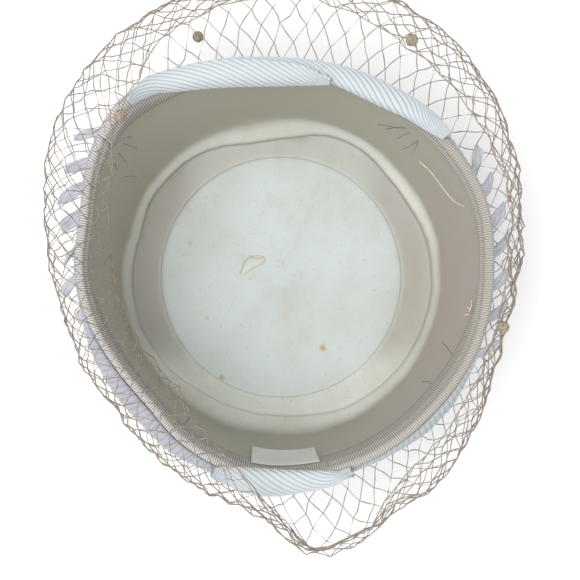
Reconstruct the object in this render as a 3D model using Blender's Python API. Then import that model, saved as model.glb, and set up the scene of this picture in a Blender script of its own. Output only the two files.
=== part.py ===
"""A veiled pillbox hat that lies on its crown with the hollow upwards.

Metres, +Z up. The origin is the middle of the crown's flat outside, on the surface that the hat lies on.
+Y is the front of the hat. Angles run anticlockwise from +X, seen from above.
"""

import math
from collections import namedtuple

import bmesh
import bpy
from mathutils import Vector

MM = 0.001
TURN = math.tau

# Driving sizes of the stiff body
RIM_RADIUS = 92.2 * MM  # mean radius of the head opening, at the ribbon's outside
HEIGHT = 82.0 * MM  # from the crown's outside to the rim
CROWN_RADIUS = 86.0 * MM  # inside of the cover, just above the crown's rounded edge
CROWN_ROUND = 7.0 * MM  # radius of that edge, inside
TURN_UNDER = 4.0 * MM  # how far the side cover runs in under the crown
ROLL_DEPTH = 8.0 * MM  # how far the draped roll below the rim stands out
COVER_WALL = 2.2 * MM
GAP = 0.3 * MM  # between pieces that lie on each other

# Lining, ribbon and label
LINING_WALL = 1.0 * MM
LINING_TIP_RADIUS = 65.5 * MM
LINING_TOP_DROP = 4.0 * MM  # rim to the lining's hidden upper edge
FOLD_HEIGHT = 7.0 * MM  # height of the lining's soft fold above its floor
FOLD_REACH = 5.0 * MM  # how far that fold leans into the hollow
RIBBON_WALL = 1.0 * MM
RIBBON_HEIGHT = 16.0 * MM
RIBBON_RISE = 12.0 * MM  # how much higher its foot is where it is narrowest
RIBBON_START = math.radians(132)
RIBBON_OVERLAP = math.radians(12)
LABEL_WALL = 0.6 * MM
LABEL_LENGTH = 33.0 * MM
LABEL_HEIGHT = 33.0 * MM
LABEL_DROP = 7.0 * MM  # rim to the label's upper edge
LABEL_ANGLE = math.radians(270)

# Draped cloth folds over the rim
DRAPE_WALL = 1.4 * MM
DRAPE_RISE = 5.0 * MM
DRAPE_SHOULDER = 3.0 * MM
DRAPE_EASE = 0.8 * MM  # clear of the roll below it
DRAPE_SIDE = 1 / 3  # share of a fold that lies down the outside
DRAPE_STEPS = 9

# Cloth leaves
LEAF_WALL = 0.9 * MM
LEAF_WIDTH = 11.0 * MM
LEAF_CUP = 1.6 * MM
LEAF_STANDOFF = 0.45 * MM
LEAF_FAN = 0.18  # how much a leaf moves outwards as it runs round the wall, as a share

# Veil
VEIL_WALL = 0.9 * MM
VEIL_STRAND = 1.5 * MM
VEIL_SEAM_HEIGHT = 22.0 * MM
VEIL_STANDOFF = 1.6 * MM  # seam to wall at a knot, so that straight strands clear the wall
VEIL_COLUMNS = 24
VEIL_ROWS = 5
DOT_RADIUS = 3.1 * MM

# Facets
BODY_STEPS = 60
ROUND_STEPS = 3

# The body's outline seen from above: rim as a share of RIM_RADIUS, roll as a share of ROLL_DEPTH.
Outline = namedtuple("Outline", "angle rim roll")
OUTLINE = (
    Outline(0, 1.000, 0.16),
    Outline(20, 1.025, 0.20),
    Outline(35, 1.015, 0.45),
    Outline(50, 1.000, 0.48),
    Outline(70, 1.000, 0.20),
    Outline(90, 1.000, 0.12),
    Outline(105, 1.015, 0.48),
    Outline(120, 1.075, 0.12),
    Outline(134, 1.137, 0.20),
    Outline(148, 1.090, 0.43),
    Outline(165, 1.012, 0.24),
    Outline(180, 1.000, 0.16),
    Outline(193, 0.974, 0.46),
    Outline(210, 0.932, 1.05),
    Outline(224, 0.920, 1.14),
    Outline(237, 0.955, 1.00),
    Outline(250, 0.985, 0.74),
    Outline(263, 1.005, 0.97),
    Outline(276, 1.001, 0.70),
    Outline(288, 0.996, 0.45),
    Outline(300, 0.989, 0.56),
    Outline(319, 0.983, 0.85),
    Outline(340, 0.999, 0.26),
)

# The roll's share of its depth up the side wall, from the crown's round, 0, to the rim, 1.
WallRow = namedtuple("WallRow", "height roll")
WALL = (
    WallRow(0.00, 0.00),
    WallRow(0.42, 0.06),
    WallRow(0.70, 0.52),
    WallRow(0.85, 1.00),
    WallRow(0.95, 0.66),
    WallRow(1.00, 0.00),
)

# The lining's soft fold round the crown: how far it leans in, as a share of FOLD_REACH.
LiningFold = namedtuple("LiningFold", "angle reach")
LINING_FOLDS = (
    LiningFold(3, 0.35),
    LiningFold(35, 0.75),
    LiningFold(68, 0.40),
    LiningFold(97, 1.70),
    LiningFold(133, 0.30),
    LiningFold(165, 0.60),
    LiningFold(205, 0.70),
    LiningFold(240, 1.50),
    LiningFold(270, 1.60),
    LiningFold(300, 0.80),
    LiningFold(325, 0.40),
)

# How much of RIBBON_RISE the ribbon's foot takes round the rim.
RibbonFoot = namedtuple("RibbonFoot", "angle rise")
RIBBON_FOOT = (
    RibbonFoot(0, 1.00),
    RibbonFoot(20, 1.00),
    RibbonFoot(50, 1.00),
    RibbonFoot(85, 0.90),
    RibbonFoot(118, 0.82),
    RibbonFoot(131, 0.42),
    RibbonFoot(143, 0.72),
    RibbonFoot(160, 0.95),
    RibbonFoot(180, 0.95),
    RibbonFoot(191, 0.45),
    RibbonFoot(203, 0.00),
    RibbonFoot(230, 0.00),
    RibbonFoot(262, 0.00),
    RibbonFoot(300, 0.00),
    RibbonFoot(333, 0.10),
    RibbonFoot(343, 0.42),
    RibbonFoot(351, 0.85),
)

# A draped fold: inner edge as a share of RIM_RADIUS, drop down the outside and height of the inner edge
# above the rim as shares of HEIGHT, and where on its curve the fold's outer edge lies (0 is down the outside).
Drape = namedtuple("Drape", "angle inner drop edge start")
FRONT_OVER = (
    Drape(77, 0.970, 0.14, 0.040, 0.90),
    Drape(81, 0.957, 0.14, 0.034, 0.83),
    Drape(86, 0.945, 0.14, 0.034, 0.72),
    Drape(94, 0.940, 0.15, 0.034, 0.66),
    Drape(104, 0.962, 0.15, 0.030, 0.62),
    Drape(113, 1.003, 0.15, 0.024, 0.57),
    Drape(121, 1.055, 0.13, 0.028, 0.58),
    Drape(128, 1.125, 0.09, 0.038, 0.74),
    Drape(133, 1.172, 0.04, 0.045, 0.86),
)
FRONT_UNDER = (
    Drape(40, 1.015, 0.05, 0.026, 0.60),
    Drape(45, 0.985, 0.11, 0.026, 0.45),
    Drape(52, 0.962, 0.16, 0.024, 0.00),
    Drape(60, 0.940, 0.18, 0.024, 0.00),
    Drape(68, 0.938, 0.18, 0.024, 0.00),
    Drape(77, 0.955, 0.17, 0.024, 0.00),
    Drape(86, 0.972, 0.16, 0.022, 0.00),
    Drape(96, 0.972, 0.14, 0.022, 0.00),
    Drape(104, 0.990, 0.12, 0.022, 0.00),
    Drape(112, 1.030, 0.08, 0.024, 0.20),
)
BACK = (
    Drape(250, 1.020, 0.06, 0.026, 0.56),
    Drape(254, 0.995, 0.12, 0.024, 0.20),
    Drape(262, 0.975, 0.13, 0.024, 0.00),
    Drape(270, 0.975, 0.13, 0.024, 0.00),
    Drape(277, 0.986, 0.13, 0.024, 0.00),
    Drape(282, 1.003, 0.13, 0.024, 0.25),
    Drape(285, 1.020, 0.09, 0.024, 0.60),
    Drape(288, 1.035, 0.05, 0.026, 0.78),
)

# A leaf: where it is sewn on, its length in mm, and in degrees its turn away from the wall, its lean along
# the wall and the tilt of its face towards the sky.
Leaf = namedtuple("Leaf", "name angle height length flare lean tilt")
LEAVES = (
    Leaf("leaf_right_1", 27, 0.80, 14, 14, 66, 46),
    Leaf("leaf_right_2", 19, 0.75, 16, 18, 64, 54),
    Leaf("leaf_right_3", 11, 0.80, 15, 20, 68, 52),
    Leaf("leaf_right_4", 3, 0.75, 17, 22, 62, 56),
    Leaf("leaf_right_5", -6, 0.79, 16, 16, 68, 50),
    Leaf("leaf_right_6", -15, 0.74, 15, 14, 64, 48),
    Leaf("leaf_right_7", -24, 0.79, 14, 12, 66, 44),
    Leaf("leaf_left_1", 142, 0.80, 14, 10, 66, 50),
    Leaf("leaf_left_2", 149, 0.74, 16, 10, 62, 58),
    Leaf("leaf_left_3", 156, 0.80, 15, 4, 70, 52),
    Leaf("leaf_left_4", 163, 0.75, 15, 2, 64, 56),
    Leaf("leaf_left_5", 171, 0.79, 14, 4, 68, 26),
    Leaf("leaf_left_6", 180, 0.75, 14, 4, 62, 45),
    Leaf("leaf_left_7", 188, 0.68, 12, 0, 66, 30),
)
# Down a leaf from its stem: place along the length, half width and outward curl as shares.
LeafRow = namedtuple("LeafRow", "along half curl")
LEAF_ROWS = (
    LeafRow(0.00, 0.22, 0.00),
    LeafRow(0.28, 0.82, 0.02),
    LeafRow(0.55, 1.00, 0.06),
    LeafRow(0.80, 0.62, 0.14),
    LeafRow(1.00, 0.06, 0.26),
)

# The veil's sections. Radii are shares of RIM_RADIUS and heights of HEIGHT: swell is the widest place,
# top is the shoulder or the place above the rim, and edge is the free edge.
VeilSection = namedtuple("VeilSection", "angle swell swell_z top top_z edge edge_z")
VEIL = (
    VeilSection(0, 1.21, 0.58, 1.18, 0.86, 1.09, 1.02),
    VeilSection(20, 1.31, 0.56, 1.27, 0.84, 1.15, 1.02),
    VeilSection(40, 1.45, 0.54, 1.39, 0.82, 1.21, 1.02),
    VeilSection(60, 1.55, 0.51, 1.47, 0.80, 1.25, 1.00),
    VeilSection(85, 1.60, 0.49, 1.53, 0.78, 1.35, 0.98),
    VeilSection(105, 1.57, 0.50, 1.50, 0.82, 1.32, 1.04),
    VeilSection(118, 1.53, 0.54, 1.43, 0.92, 1.24, 1.14),
    VeilSection(130, 1.49, 0.56, 1.33, 1.12, 1.12, 1.22),
    VeilSection(146, 1.43, 0.58, 1.20, 1.26, 1.00, 1.12),
    VeilSection(157, 1.36, 0.59, 1.15, 1.27, 0.95, 0.99),
    VeilSection(166, 1.28, 0.60, 1.10, 1.26, 0.90, 0.88),
    VeilSection(176, 1.21, 0.62, 1.07, 1.25, 0.88, 0.84),
    VeilSection(186, 1.16, 0.66, 1.04, 1.24, 0.86, 0.82),
    VeilSection(205, 1.12, 0.72, 1.00, 1.22, 0.81, 0.82),
    VeilSection(225, 1.11, 0.76, 0.99, 1.22, 0.80, 0.86),
    VeilSection(243, 1.14, 0.78, 1.05, 1.26, 0.86, 1.04),
    VeilSection(255, 1.18, 0.74, 1.09, 1.27, 0.95, 1.21),
    VeilSection(263, 1.24, 0.62, 1.14, 1.18, 1.06, 1.22),
    VeilSection(269, 1.36, 0.48, 1.25, 0.92, 1.19, 1.04),
    VeilSection(275, 1.50, 0.40, 1.47, 0.50, 1.45, 0.60),
    VeilSection(282, 1.52, 0.37, 1.50, 0.42, 1.47, 0.52),
    VeilSection(289, 1.48, 0.40, 1.44, 0.52, 1.38, 0.66),
    VeilSection(296, 1.40, 0.46, 1.34, 0.70, 1.23, 0.86),
    VeilSection(306, 1.37, 0.50, 1.30, 0.81, 1.14, 0.98),
    VeilSection(320, 1.29, 0.54, 1.23, 0.84, 1.10, 1.00),
    VeilSection(340, 1.19, 0.58, 1.16, 0.86, 1.06, 1.02),
)
# Chenille dots: the knot of the net that each sits on, and where it puts that knot.
Dot = namedtuple("Dot", "name ring column angle along")
DOTS = (
    Dot("veil_dot_1", 1, 7, 109.5, 0.32),
    Dot("veil_dot_2", 4, 4, 61.5, 0.98),
    Dot("veil_dot_3", 4, 23, 345.5, 1.00),
    Dot("veil_dot_4", 4, 9, 137.0, 1.00),
)


def clear_scene():
    """Remove every object, so that the file can be run again."""
    for item in list(bpy.data.objects):
        bpy.data.objects.remove(item)


def finish(name, colour, roughness):
    """A Principled material, with colours as linear values."""
    made = bpy.data.materials.new(name)
    made.use_nodes = True
    shader = made.node_tree.nodes["Principled BSDF"]
    shader.inputs["Base Color"].default_value = (*colour, 1.0)
    shader.inputs["Roughness"].default_value = roughness
    shader.inputs["Metallic"].default_value = 0.0
    return made


def add_object(name, mesh_data, material):
    """Link an object for a finished bmesh, with its faces pointing out."""
    bmesh.ops.recalc_face_normals(mesh_data, faces=mesh_data.faces)
    if mesh_data.calc_volume(signed=True) < 0:
        bmesh.ops.reverse_faces(mesh_data, faces=mesh_data.faces)
    mesh = bpy.data.meshes.new(name)
    mesh_data.to_mesh(mesh)
    mesh_data.free()
    mesh.shade_smooth()
    mesh.set_sharp_from_angle(angle=math.radians(40))
    mesh.materials.append(material)
    item = bpy.data.objects.new(name, mesh)
    bpy.context.scene.collection.objects.link(item)
    return item


def hermite(start, end, slope_in, slope_out, width, share):
    """The cubic through start and end with these slopes, share of the way along a span of this width."""
    square, cube = share**2, share**3
    return (
        (2 * cube - 3 * square + 1) * start
        + (cube - 2 * square + share) * slope_in * width
        + (3 * square - 2 * cube) * end
        + (cube - square) * slope_out * width
    )


def along_table(rows, column, angle):
    """A column's smooth value at an angle in degrees, in a table that ends at its first and last row."""
    angle = min(max(angle, rows[0].angle), rows[-1].angle)
    last = len(rows) - 1
    spot = next(i for i in range(last) if angle <= rows[i + 1].angle)
    values = [getattr(row, column) for row in rows]

    def slope(i):
        before, after = max(i - 1, 0), min(i + 1, last)
        return (values[after] - values[before]) / (rows[after].angle - rows[before].angle)

    width = rows[spot + 1].angle - rows[spot].angle
    share = (angle - rows[spot].angle) / width
    return hermite(values[spot], values[spot + 1], slope(spot), slope(spot + 1), width, share)


def round_table(rows, column, angle):
    """A column's smooth value at an angle in degrees, in a table that goes all the way round."""
    whole = [rows[-2], rows[-1], *rows, rows[0], rows[1]]
    turns = [-360, -360, *([0] * len(rows)), 360, 360]
    shifted = [row._replace(angle=row.angle + turn) for row, turn in zip(whole, turns)]
    first = rows[0].angle
    return along_table(shifted, column, (angle - first) % 360 + first)


def polar(radius, angle, height):
    """The point at this radius and height, with the angle in radians."""
    return Vector((radius * math.cos(angle), radius * math.sin(angle), height))


def mix(first, second, share):
    """The value share of the way from first to second."""
    return first + (second - first) * share


def rim_radius(angle):
    """The ribbon's outside at the rim, at an angle in radians."""
    return RIM_RADIUS * round_table(OUTLINE, "rim", math.degrees(angle))


def inner_profile(angle, roll_share=1.0):
    """The cover's inside from under the crown to the rim, as radius and height."""
    centre = CROWN_RADIUS - CROWN_ROUND
    points = [(centre - TURN_UNDER, COVER_WALL)]
    for step in range(ROUND_STEPS + 1):
        bend = math.pi / 2 * step / ROUND_STEPS
        points.append(
            (
                centre + CROWN_ROUND * math.sin(bend),
                COVER_WALL + CROWN_ROUND * (1 - math.cos(bend)),
            )
        )
    top = rim_radius(angle) + GAP
    roll = ROLL_DEPTH * roll_share * round_table(OUTLINE, "roll", math.degrees(angle))
    bottom = COVER_WALL + CROWN_ROUND
    for row in WALL[1:]:
        radius = mix(CROWN_RADIUS, top, row.height) + roll * row.roll
        points.append((radius, mix(bottom, HEIGHT, row.height)))
    return points


def offset(points, distance):
    """The profile moved this far to its right, which is outwards on a wall that runs upwards."""
    moved = []
    last = len(points) - 1
    for i, (radius, height) in enumerate(points):
        before, after = points[max(i - 1, 0)], points[min(i + 1, last)]
        along = Vector((after[0] - before[0], after[1] - before[1])).normalized()
        moved.append((radius + along.y * distance, height - along.x * distance))
    return moved


def outer_profile(angle):
    """The cover's outside, which ends level with its inside at the rim."""
    inside = inner_profile(angle)
    return offset(inside, COVER_WALL)[:-1] + [(inside[-1][0] + COVER_WALL, HEIGHT)]


def cover_section(angle):
    """The side cover's closed outline at an angle."""
    return outer_profile(angle) + inner_profile(angle)[::-1]


def radius_at(points, height):
    """The radius of a rising profile at a height."""
    for (low_r, low_z), (high_r, high_z) in zip(points, points[1:]):
        if low_z <= height <= high_z and high_z > low_z:
            return mix(low_r, high_r, (height - low_z) / (high_z - low_z))
    return points[-1][0]


def outside_radius(angle, height):
    """The side cover's outer radius at an angle and height."""
    return radius_at(outer_profile(angle), height)


def wall_radius(angle, height):
    """The straight inner wall that the lining follows, without the roll."""
    return radius_at(inner_profile(angle, 0.0), height)


def join_loops(mesh_data, first, second):
    """Quads between two closed loops of the same length."""
    for i in range(len(first)):
        j = (i + 1) % len(first)
        mesh_data.faces.new((first[i], first[j], second[j], second[i]))


def ring_solid(name, section, steps, material):
    """A solid swept all the way round from the closed outline that section gives at each angle."""
    mesh_data = bmesh.new()
    loops = []
    for step in range(steps):
        angle = TURN * step / steps
        loops.append([mesh_data.verts.new(polar(r, angle, z)) for r, z in section(angle)])
    for this, following in zip(loops, loops[1:] + loops[:1]):
        join_loops(mesh_data, this, following)
    return add_object(name, mesh_data, material)


def strip_solid(name, section, start, end, steps, material):
    """A solid swept from start to end, in radians, with a cap on each end."""
    mesh_data = bmesh.new()
    loops = []
    for step in range(steps + 1):
        angle = mix(start, end, step / steps)
        loops.append([mesh_data.verts.new(polar(r, angle, z)) for r, z in section(angle)])
    for this, following in zip(loops, loops[1:]):
        join_loops(mesh_data, this, following)
    mesh_data.faces.new(loops[0])
    mesh_data.faces.new(loops[-1])
    return add_object(name, mesh_data, material)


def disc_solid(name, radius, bottom, wall, steps, material):
    """A flat round piece of cloth with a softened edge."""
    mesh_data = bmesh.new()
    made = bmesh.ops.create_circle(mesh_data, cap_ends=True, radius=radius, segments=steps)
    for vert in made["verts"]:
        vert.co.z = bottom
    grown = bmesh.ops.extrude_face_region(mesh_data, geom=list(mesh_data.faces))
    for item in grown["geom"]:
        if isinstance(item, bmesh.types.BMVert):
            item.co.z = bottom + wall
    return add_object(name, mesh_data, material)


def make_body(cloth):
    """The covered side and the covered tip of the crown."""
    ring_solid("side_cover", cover_section, BODY_STEPS, cloth)
    tip_radius = CROWN_RADIUS - CROWN_ROUND - TURN_UNDER - GAP
    disc_solid("tip_cover", tip_radius, 0.0, COVER_WALL, BODY_STEPS, cloth)


def lining_section(angle):
    """The side lining's closed outline: floor ring, soft fold, then the wall up to behind the ribbon."""
    floor = COVER_WALL + GAP
    reach = FOLD_REACH * round_table(LINING_FOLDS, "reach", math.degrees(angle))
    room = CROWN_RADIUS - GAP
    crease = room - LINING_WALL - reach - 0.5 * FOLD_REACH
    fold_top = floor + 2.0 * FOLD_HEIGHT
    top = HEIGHT - LINING_TOP_DROP
    path = [
        (LINING_TIP_RADIUS + GAP, floor),
        (crease, floor + 0.12 * FOLD_HEIGHT),
        (crease + 0.16 * FOLD_REACH, floor + 0.55 * FOLD_HEIGHT),
        (room - 0.60 * reach, floor + FOLD_HEIGHT),
        (wall_radius(angle, fold_top) - GAP - 0.12 * reach, fold_top),
    ]
    for height in (mix(fold_top, top, 0.5), top):
        path.append((wall_radius(angle, height) - GAP, height))
    return path + offset(path, -LINING_WALL)[::-1]


def ribbon_foot(angle):
    """The height of the ribbon's foot, which is higher at the front and the sides."""
    rise = min(max(round_table(RIBBON_FOOT, "rise", math.degrees(angle)), 0.0), 1.0)
    return HEIGHT - RIBBON_HEIGHT + RIBBON_RISE * rise


def ribbon_path(angle):
    """The ribbon's outer side: up the wall from its foot, then out over the rim."""
    turned = (angle - RIBBON_START) / TURN
    shift = (RIBBON_WALL + GAP) * turned
    lift = (RIBBON_WALL + GAP) * min(max(16 * turned - 15, 0.0), 1.0)
    foot = ribbon_foot(angle)
    tuck = HEIGHT - LINING_TOP_DROP + 2 * GAP
    rim = rim_radius(angle)
    return [
        (wall_radius(angle, foot) - 2 * GAP - LINING_WALL - shift, foot),
        (wall_radius(angle, tuck) - 2 * GAP - LINING_WALL - shift, tuck),
        (wall_radius(angle, HEIGHT - 3 * RIBBON_WALL) - GAP - shift, HEIGHT - 3 * RIBBON_WALL),
        (rim - GAP - shift, HEIGHT + lift),
        (rim + 0.8 * COVER_WALL, HEIGHT + GAP + lift),
    ]


def ribbon_section(angle):
    """The grosgrain ribbon's closed outline."""
    path = ribbon_path(angle)
    return path + offset(path, -RIBBON_WALL)[::-1]


def label_section(angle):
    """The label's closed outline, sewn over the ribbon and hanging down the lining below it."""
    top = HEIGHT - LABEL_DROP
    foot = ribbon_foot(angle)
    ribbon = offset(ribbon_path(angle), -RIBBON_WALL)
    path = []
    for height in (top - LABEL_HEIGHT, foot - 3 * RIBBON_WALL):
        path.append((wall_radius(angle, height) - 3 * GAP - LINING_WALL, height))
    for height in (foot + 0.5 * RIBBON_WALL, top):
        path.append((radius_at(ribbon, height) - 2 * GAP, height))
    return path + offset(path, -LABEL_WALL)[::-1]


def make_inside(satin, grosgrain, paper):
    """The lining, the ribbon round the head opening, and the blank label."""
    ring_solid("lining_side", lining_section, BODY_STEPS, satin)
    floor = COVER_WALL + GAP
    disc_solid("lining_tip", LINING_TIP_RADIUS, floor, LINING_WALL, BODY_STEPS, satin)
    end = RIBBON_START + TURN + RIBBON_OVERLAP
    steps = round((end - RIBBON_START) / TURN * BODY_STEPS)
    strip_solid("sweatband", ribbon_section, RIBBON_START, end, steps, grosgrain)
    half = 0.5 * LABEL_LENGTH / RIM_RADIUS
    strip_solid("label", label_section, LABEL_ANGLE - half, LABEL_ANGLE + half, 6, paper)


def drape_path(rows, angle, layer):
    """A draped fold's underside, from low on the outside, over the rim, to its inner edge."""
    degrees = math.degrees(angle)
    inner, drop, edge, start = (
        along_table(rows, column, degrees) for column in ("inner", "drop", "edge", "start")
    )
    low = HEIGHT * (1 - drop)
    outer = outside_radius(angle, HEIGHT - DRAPE_SHOULDER) + DRAPE_EASE
    inner_radius = min(RIM_RADIUS * inner, outer - 1.2 * DRAPE_SHOULDER)
    half = 0.5 * (outer - inner_radius)
    narrow = min(1.0, half / (2 * DRAPE_SHOULDER))
    shoulder = HEIGHT - DRAPE_SHOULDER * narrow
    rise = max(DRAPE_RISE * narrow, 3 * RIBBON_WALL)
    low = min(low, shoulder - DRAPE_WALL)
    points = []
    for step in range(DRAPE_STEPS + 1):
        place = mix(start, 1.0, step / DRAPE_STEPS)
        if place < DRAPE_SIDE:
            height = mix(low, shoulder, place / DRAPE_SIDE)
            radius = outside_radius(angle, height) + DRAPE_EASE
        else:
            bend = math.pi * (place - DRAPE_SIDE) / (1 - DRAPE_SIDE)
            share = 0.5 * (1 - math.cos(bend))
            height = mix(shoulder, HEIGHT * (1 + edge), share) + rise * math.sin(bend)
            radius = mix(outer, inner_radius, share)
        points.append((radius, height))
    return offset(points, layer * (DRAPE_WALL + 4 * GAP))


def make_folds(cloth):
    """The three draped folds that lie over the rim at the front and the back."""
    for name, rows, layer in (
        ("front_fold_under", FRONT_UNDER, 0),
        ("front_fold_over", FRONT_OVER, 1),
        ("back_fold", BACK, 0),
    ):

        def section(angle, rows=rows, layer=layer):
            path = drape_path(rows, angle, layer)
            return offset(path, DRAPE_WALL) + path[::-1]

        start, end = math.radians(rows[0].angle), math.radians(rows[-1].angle)
        steps = round((end - start) / TURN * BODY_STEPS)
        strip_solid(name, section, start, end, steps, cloth)


def leaf_point(leaf, along, across, lift):
    """A point on a leaf: along and across it in metres, and lifted off its face."""
    angle = math.radians(leaf.angle)
    lean, flare, tilt = (math.radians(turn) for turn in (leaf.lean, leaf.flare, leaf.tilt))
    outward = Vector((math.cos(angle), math.sin(angle), 0))
    sideways = Vector((-math.sin(angle), math.cos(angle), 0))
    upward = Vector((0, 0, 1))
    axis = math.cos(lean) * upward + math.sin(lean) * sideways
    width = math.cos(lean) * sideways - math.sin(lean) * upward
    axis = math.cos(flare) * axis + math.sin(flare) * outward
    face = math.cos(tilt) * outward - math.sin(tilt) * width
    width = math.cos(tilt) * width + math.sin(tilt) * outward
    height = leaf.height * HEIGHT
    root = polar(outside_radius(angle, height), angle, height)
    point = root + axis * along + width * across + face * lift
    point += outward * max(sideways.dot(point - root), 0.0) * LEAF_FAN
    return point


def wall_clearance(point):
    """How far a point is outside the side cover, measured away from the middle."""
    return point.xy.length - outside_radius(math.atan2(point.y, point.x), point.z)


def make_leaf(leaf, cloth):
    """One cupped cloth leaf, thin and closed, that stands just clear of the wall."""
    mesh_data = bmesh.new()
    sides = []
    length = leaf.length * MM
    for lift in (0.0, LEAF_WALL):
        grid = []
        for row in LEAF_ROWS:
            half = 0.5 * LEAF_WIDTH * row.half
            line = []
            for share in (-1, 0, 1):
                cup = LEAF_CUP * abs(share) * row.half + length * row.curl * 0.4
                point = leaf_point(leaf, row.along * length, half * share, lift + cup)
                line.append(mesh_data.verts.new(point))
            grid.append(line)
        sides.append(grid)
    clear = min(wall_clearance(vert.co) for vert in mesh_data.verts)
    push = polar(LEAF_STANDOFF - clear, math.radians(leaf.angle), 0.0)
    bmesh.ops.translate(mesh_data, verts=mesh_data.verts, vec=push)
    under, over = sides
    last = len(LEAF_ROWS) - 1
    for i in range(last):
        for j in (0, 1):
            for grid in sides:
                mesh_data.faces.new((grid[i][j], grid[i][j + 1], grid[i + 1][j + 1], grid[i + 1][j]))
        for j in (0, 2):
            mesh_data.faces.new((under[i][j], under[i + 1][j], over[i + 1][j], over[i][j]))
    for i in (0, last):
        for j in (0, 1):
            mesh_data.faces.new((under[i][j], under[i][j + 1], over[i][j + 1], over[i][j]))
    add_object(leaf.name, mesh_data, cloth)


def veil_point(degrees, along):
    """The veil's middle surface: along runs from the seam low on the wall, 0, to the free edge, 1."""
    angle = math.radians(degrees)
    seam_z = VEIL_SEAM_HEIGHT
    seam = outside_radius(angle, seam_z) + VEIL_STANDOFF
    swell, swell_z, top, top_z, edge, edge_z = (
        round_table(VEIL, column, degrees)
        for column in ("swell", "swell_z", "top", "top_z", "edge", "edge_z")
    )
    knots = (0.0, 0.5, 0.75, 1.0)
    radii = (seam, swell * RIM_RADIUS, top * RIM_RADIUS, edge * RIM_RADIUS)
    heights = (seam_z, swell_z * HEIGHT, top_z * HEIGHT, edge_z * HEIGHT)
    spot = next(i for i in range(3) if along <= knots[i + 1])

    def value(values):
        def slope(i):
            before, after = max(i - 1, 0), min(i + 1, 3)
            return (values[after] - values[before]) / (knots[after] - knots[before])

        width = knots[spot + 1] - knots[spot]
        share = (along - knots[spot]) / width
        return hermite(values[spot], values[spot + 1], slope(spot), slope(spot + 1), width, share)

    return polar(value(radii), angle, value(heights))


def make_veil(net):
    """The coarse diamond net: each gap is a face that is inset by half a strand and then taken out."""
    mesh_data = bmesh.new()
    turn = 360 / VEIL_COLUMNS
    places = {}
    for ring in range(VEIL_ROWS):
        for column in range(VEIL_COLUMNS):
            degrees = (column + 0.5 * (ring % 2)) * turn
            places[ring, column] = (degrees, ring / (VEIL_ROWS - 1))
    for dot in DOTS:
        places[dot.ring, dot.column] = (dot.angle, dot.along)
    knots = {key: mesh_data.verts.new(veil_point(*place)) for key, place in places.items()}

    def knot(ring, column):
        return knots[ring, column % VEIL_COLUMNS]

    for ring in range(VEIL_ROWS):
        for column in range(VEIL_COLUMNS):
            side = column + ring % 2
            if ring == 0:
                corners = (knot(0, column), knot(0, column + 1), knot(1, column))
            elif ring == VEIL_ROWS - 1:
                corners = (knot(ring, column), knot(ring - 1, column), knot(ring, column + 1))
            else:
                corners = (
                    knot(ring, column),
                    knot(ring - 1, side),
                    knot(ring, column + 1),
                    knot(ring + 1, side),
                )
            mesh_data.faces.new(corners)
    gaps = list(mesh_data.faces)
    bmesh.ops.recalc_face_normals(mesh_data, faces=gaps)
    bmesh.ops.inset_individual(
        mesh_data, faces=gaps, thickness=0.5 * VEIL_STRAND, use_even_offset=True
    )
    bmesh.ops.delete(mesh_data, geom=gaps, context="FACES")
    bmesh.ops.solidify(mesh_data, geom=list(mesh_data.faces), thickness=VEIL_WALL)
    add_object("veil", mesh_data, net)
    for dot in DOTS:
        make_dot(dot, net)


def make_dot(dot, chenille):
    """A round chenille dot that sits on the outside of a knot of the net."""
    middle = veil_point(dot.angle, dot.along)
    ahead = veil_point(dot.angle, max(dot.along - 0.1, 0.0)) - middle
    beside = veil_point(dot.angle + 4, dot.along) - middle
    outward = beside.cross(-ahead).normalized()
    mesh_data = bmesh.new()
    bmesh.ops.create_icosphere(mesh_data, subdivisions=2, radius=DOT_RADIUS)
    shift = outward * (DOT_RADIUS + GAP)
    bmesh.ops.translate(mesh_data, verts=mesh_data.verts, vec=middle + shift)
    add_object(dot.name, mesh_data, chenille)


def main():
    """Build every piece of the hat."""
    clear_scene()
    cloth = finish("draped_cloth", (0.60, 0.66, 0.69), 0.75)
    satin = finish("lining_satin", (0.52, 0.53, 0.49), 0.55)
    grosgrain = finish("ribbon_grosgrain", (0.68, 0.62, 0.52), 0.70)
    paper = finish("label_cloth", (0.66, 0.66, 0.63), 0.80)
    petal = finish("leaf_satin", (0.66, 0.64, 0.70), 0.50)
    net = finish("veil_net", (0.30, 0.23, 0.18), 0.80)
    make_body(cloth)
    make_inside(satin, grosgrain, paper)
    make_folds(cloth)
    for leaf in LEAVES:
        make_leaf(leaf, petal)
    make_veil(net)


main()
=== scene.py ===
"""The looks of a veiled pillbox hat that lies on its crown, hollow side up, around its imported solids."""

import logging
import math
from collections.abc import Callable, Sequence
from dataclasses import dataclass, field
from enum import Enum
from functools import lru_cache
from typing import NamedTuple

import bmesh
import bpy
from mathutils import Matrix, Vector, noise


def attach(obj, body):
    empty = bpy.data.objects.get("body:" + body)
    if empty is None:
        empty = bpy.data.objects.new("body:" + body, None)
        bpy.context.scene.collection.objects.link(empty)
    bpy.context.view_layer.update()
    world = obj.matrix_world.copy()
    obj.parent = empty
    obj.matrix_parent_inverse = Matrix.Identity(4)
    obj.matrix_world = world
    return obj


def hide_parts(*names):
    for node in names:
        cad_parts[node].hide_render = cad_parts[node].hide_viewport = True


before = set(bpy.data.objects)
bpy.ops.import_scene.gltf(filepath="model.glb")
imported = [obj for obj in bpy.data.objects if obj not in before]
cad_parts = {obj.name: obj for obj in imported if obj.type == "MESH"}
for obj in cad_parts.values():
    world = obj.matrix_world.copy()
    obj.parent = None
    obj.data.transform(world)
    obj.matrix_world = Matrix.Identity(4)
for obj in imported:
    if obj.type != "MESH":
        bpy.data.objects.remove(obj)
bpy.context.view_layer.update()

LOG = logging.getLogger("hat")
MM = 0.001
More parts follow.
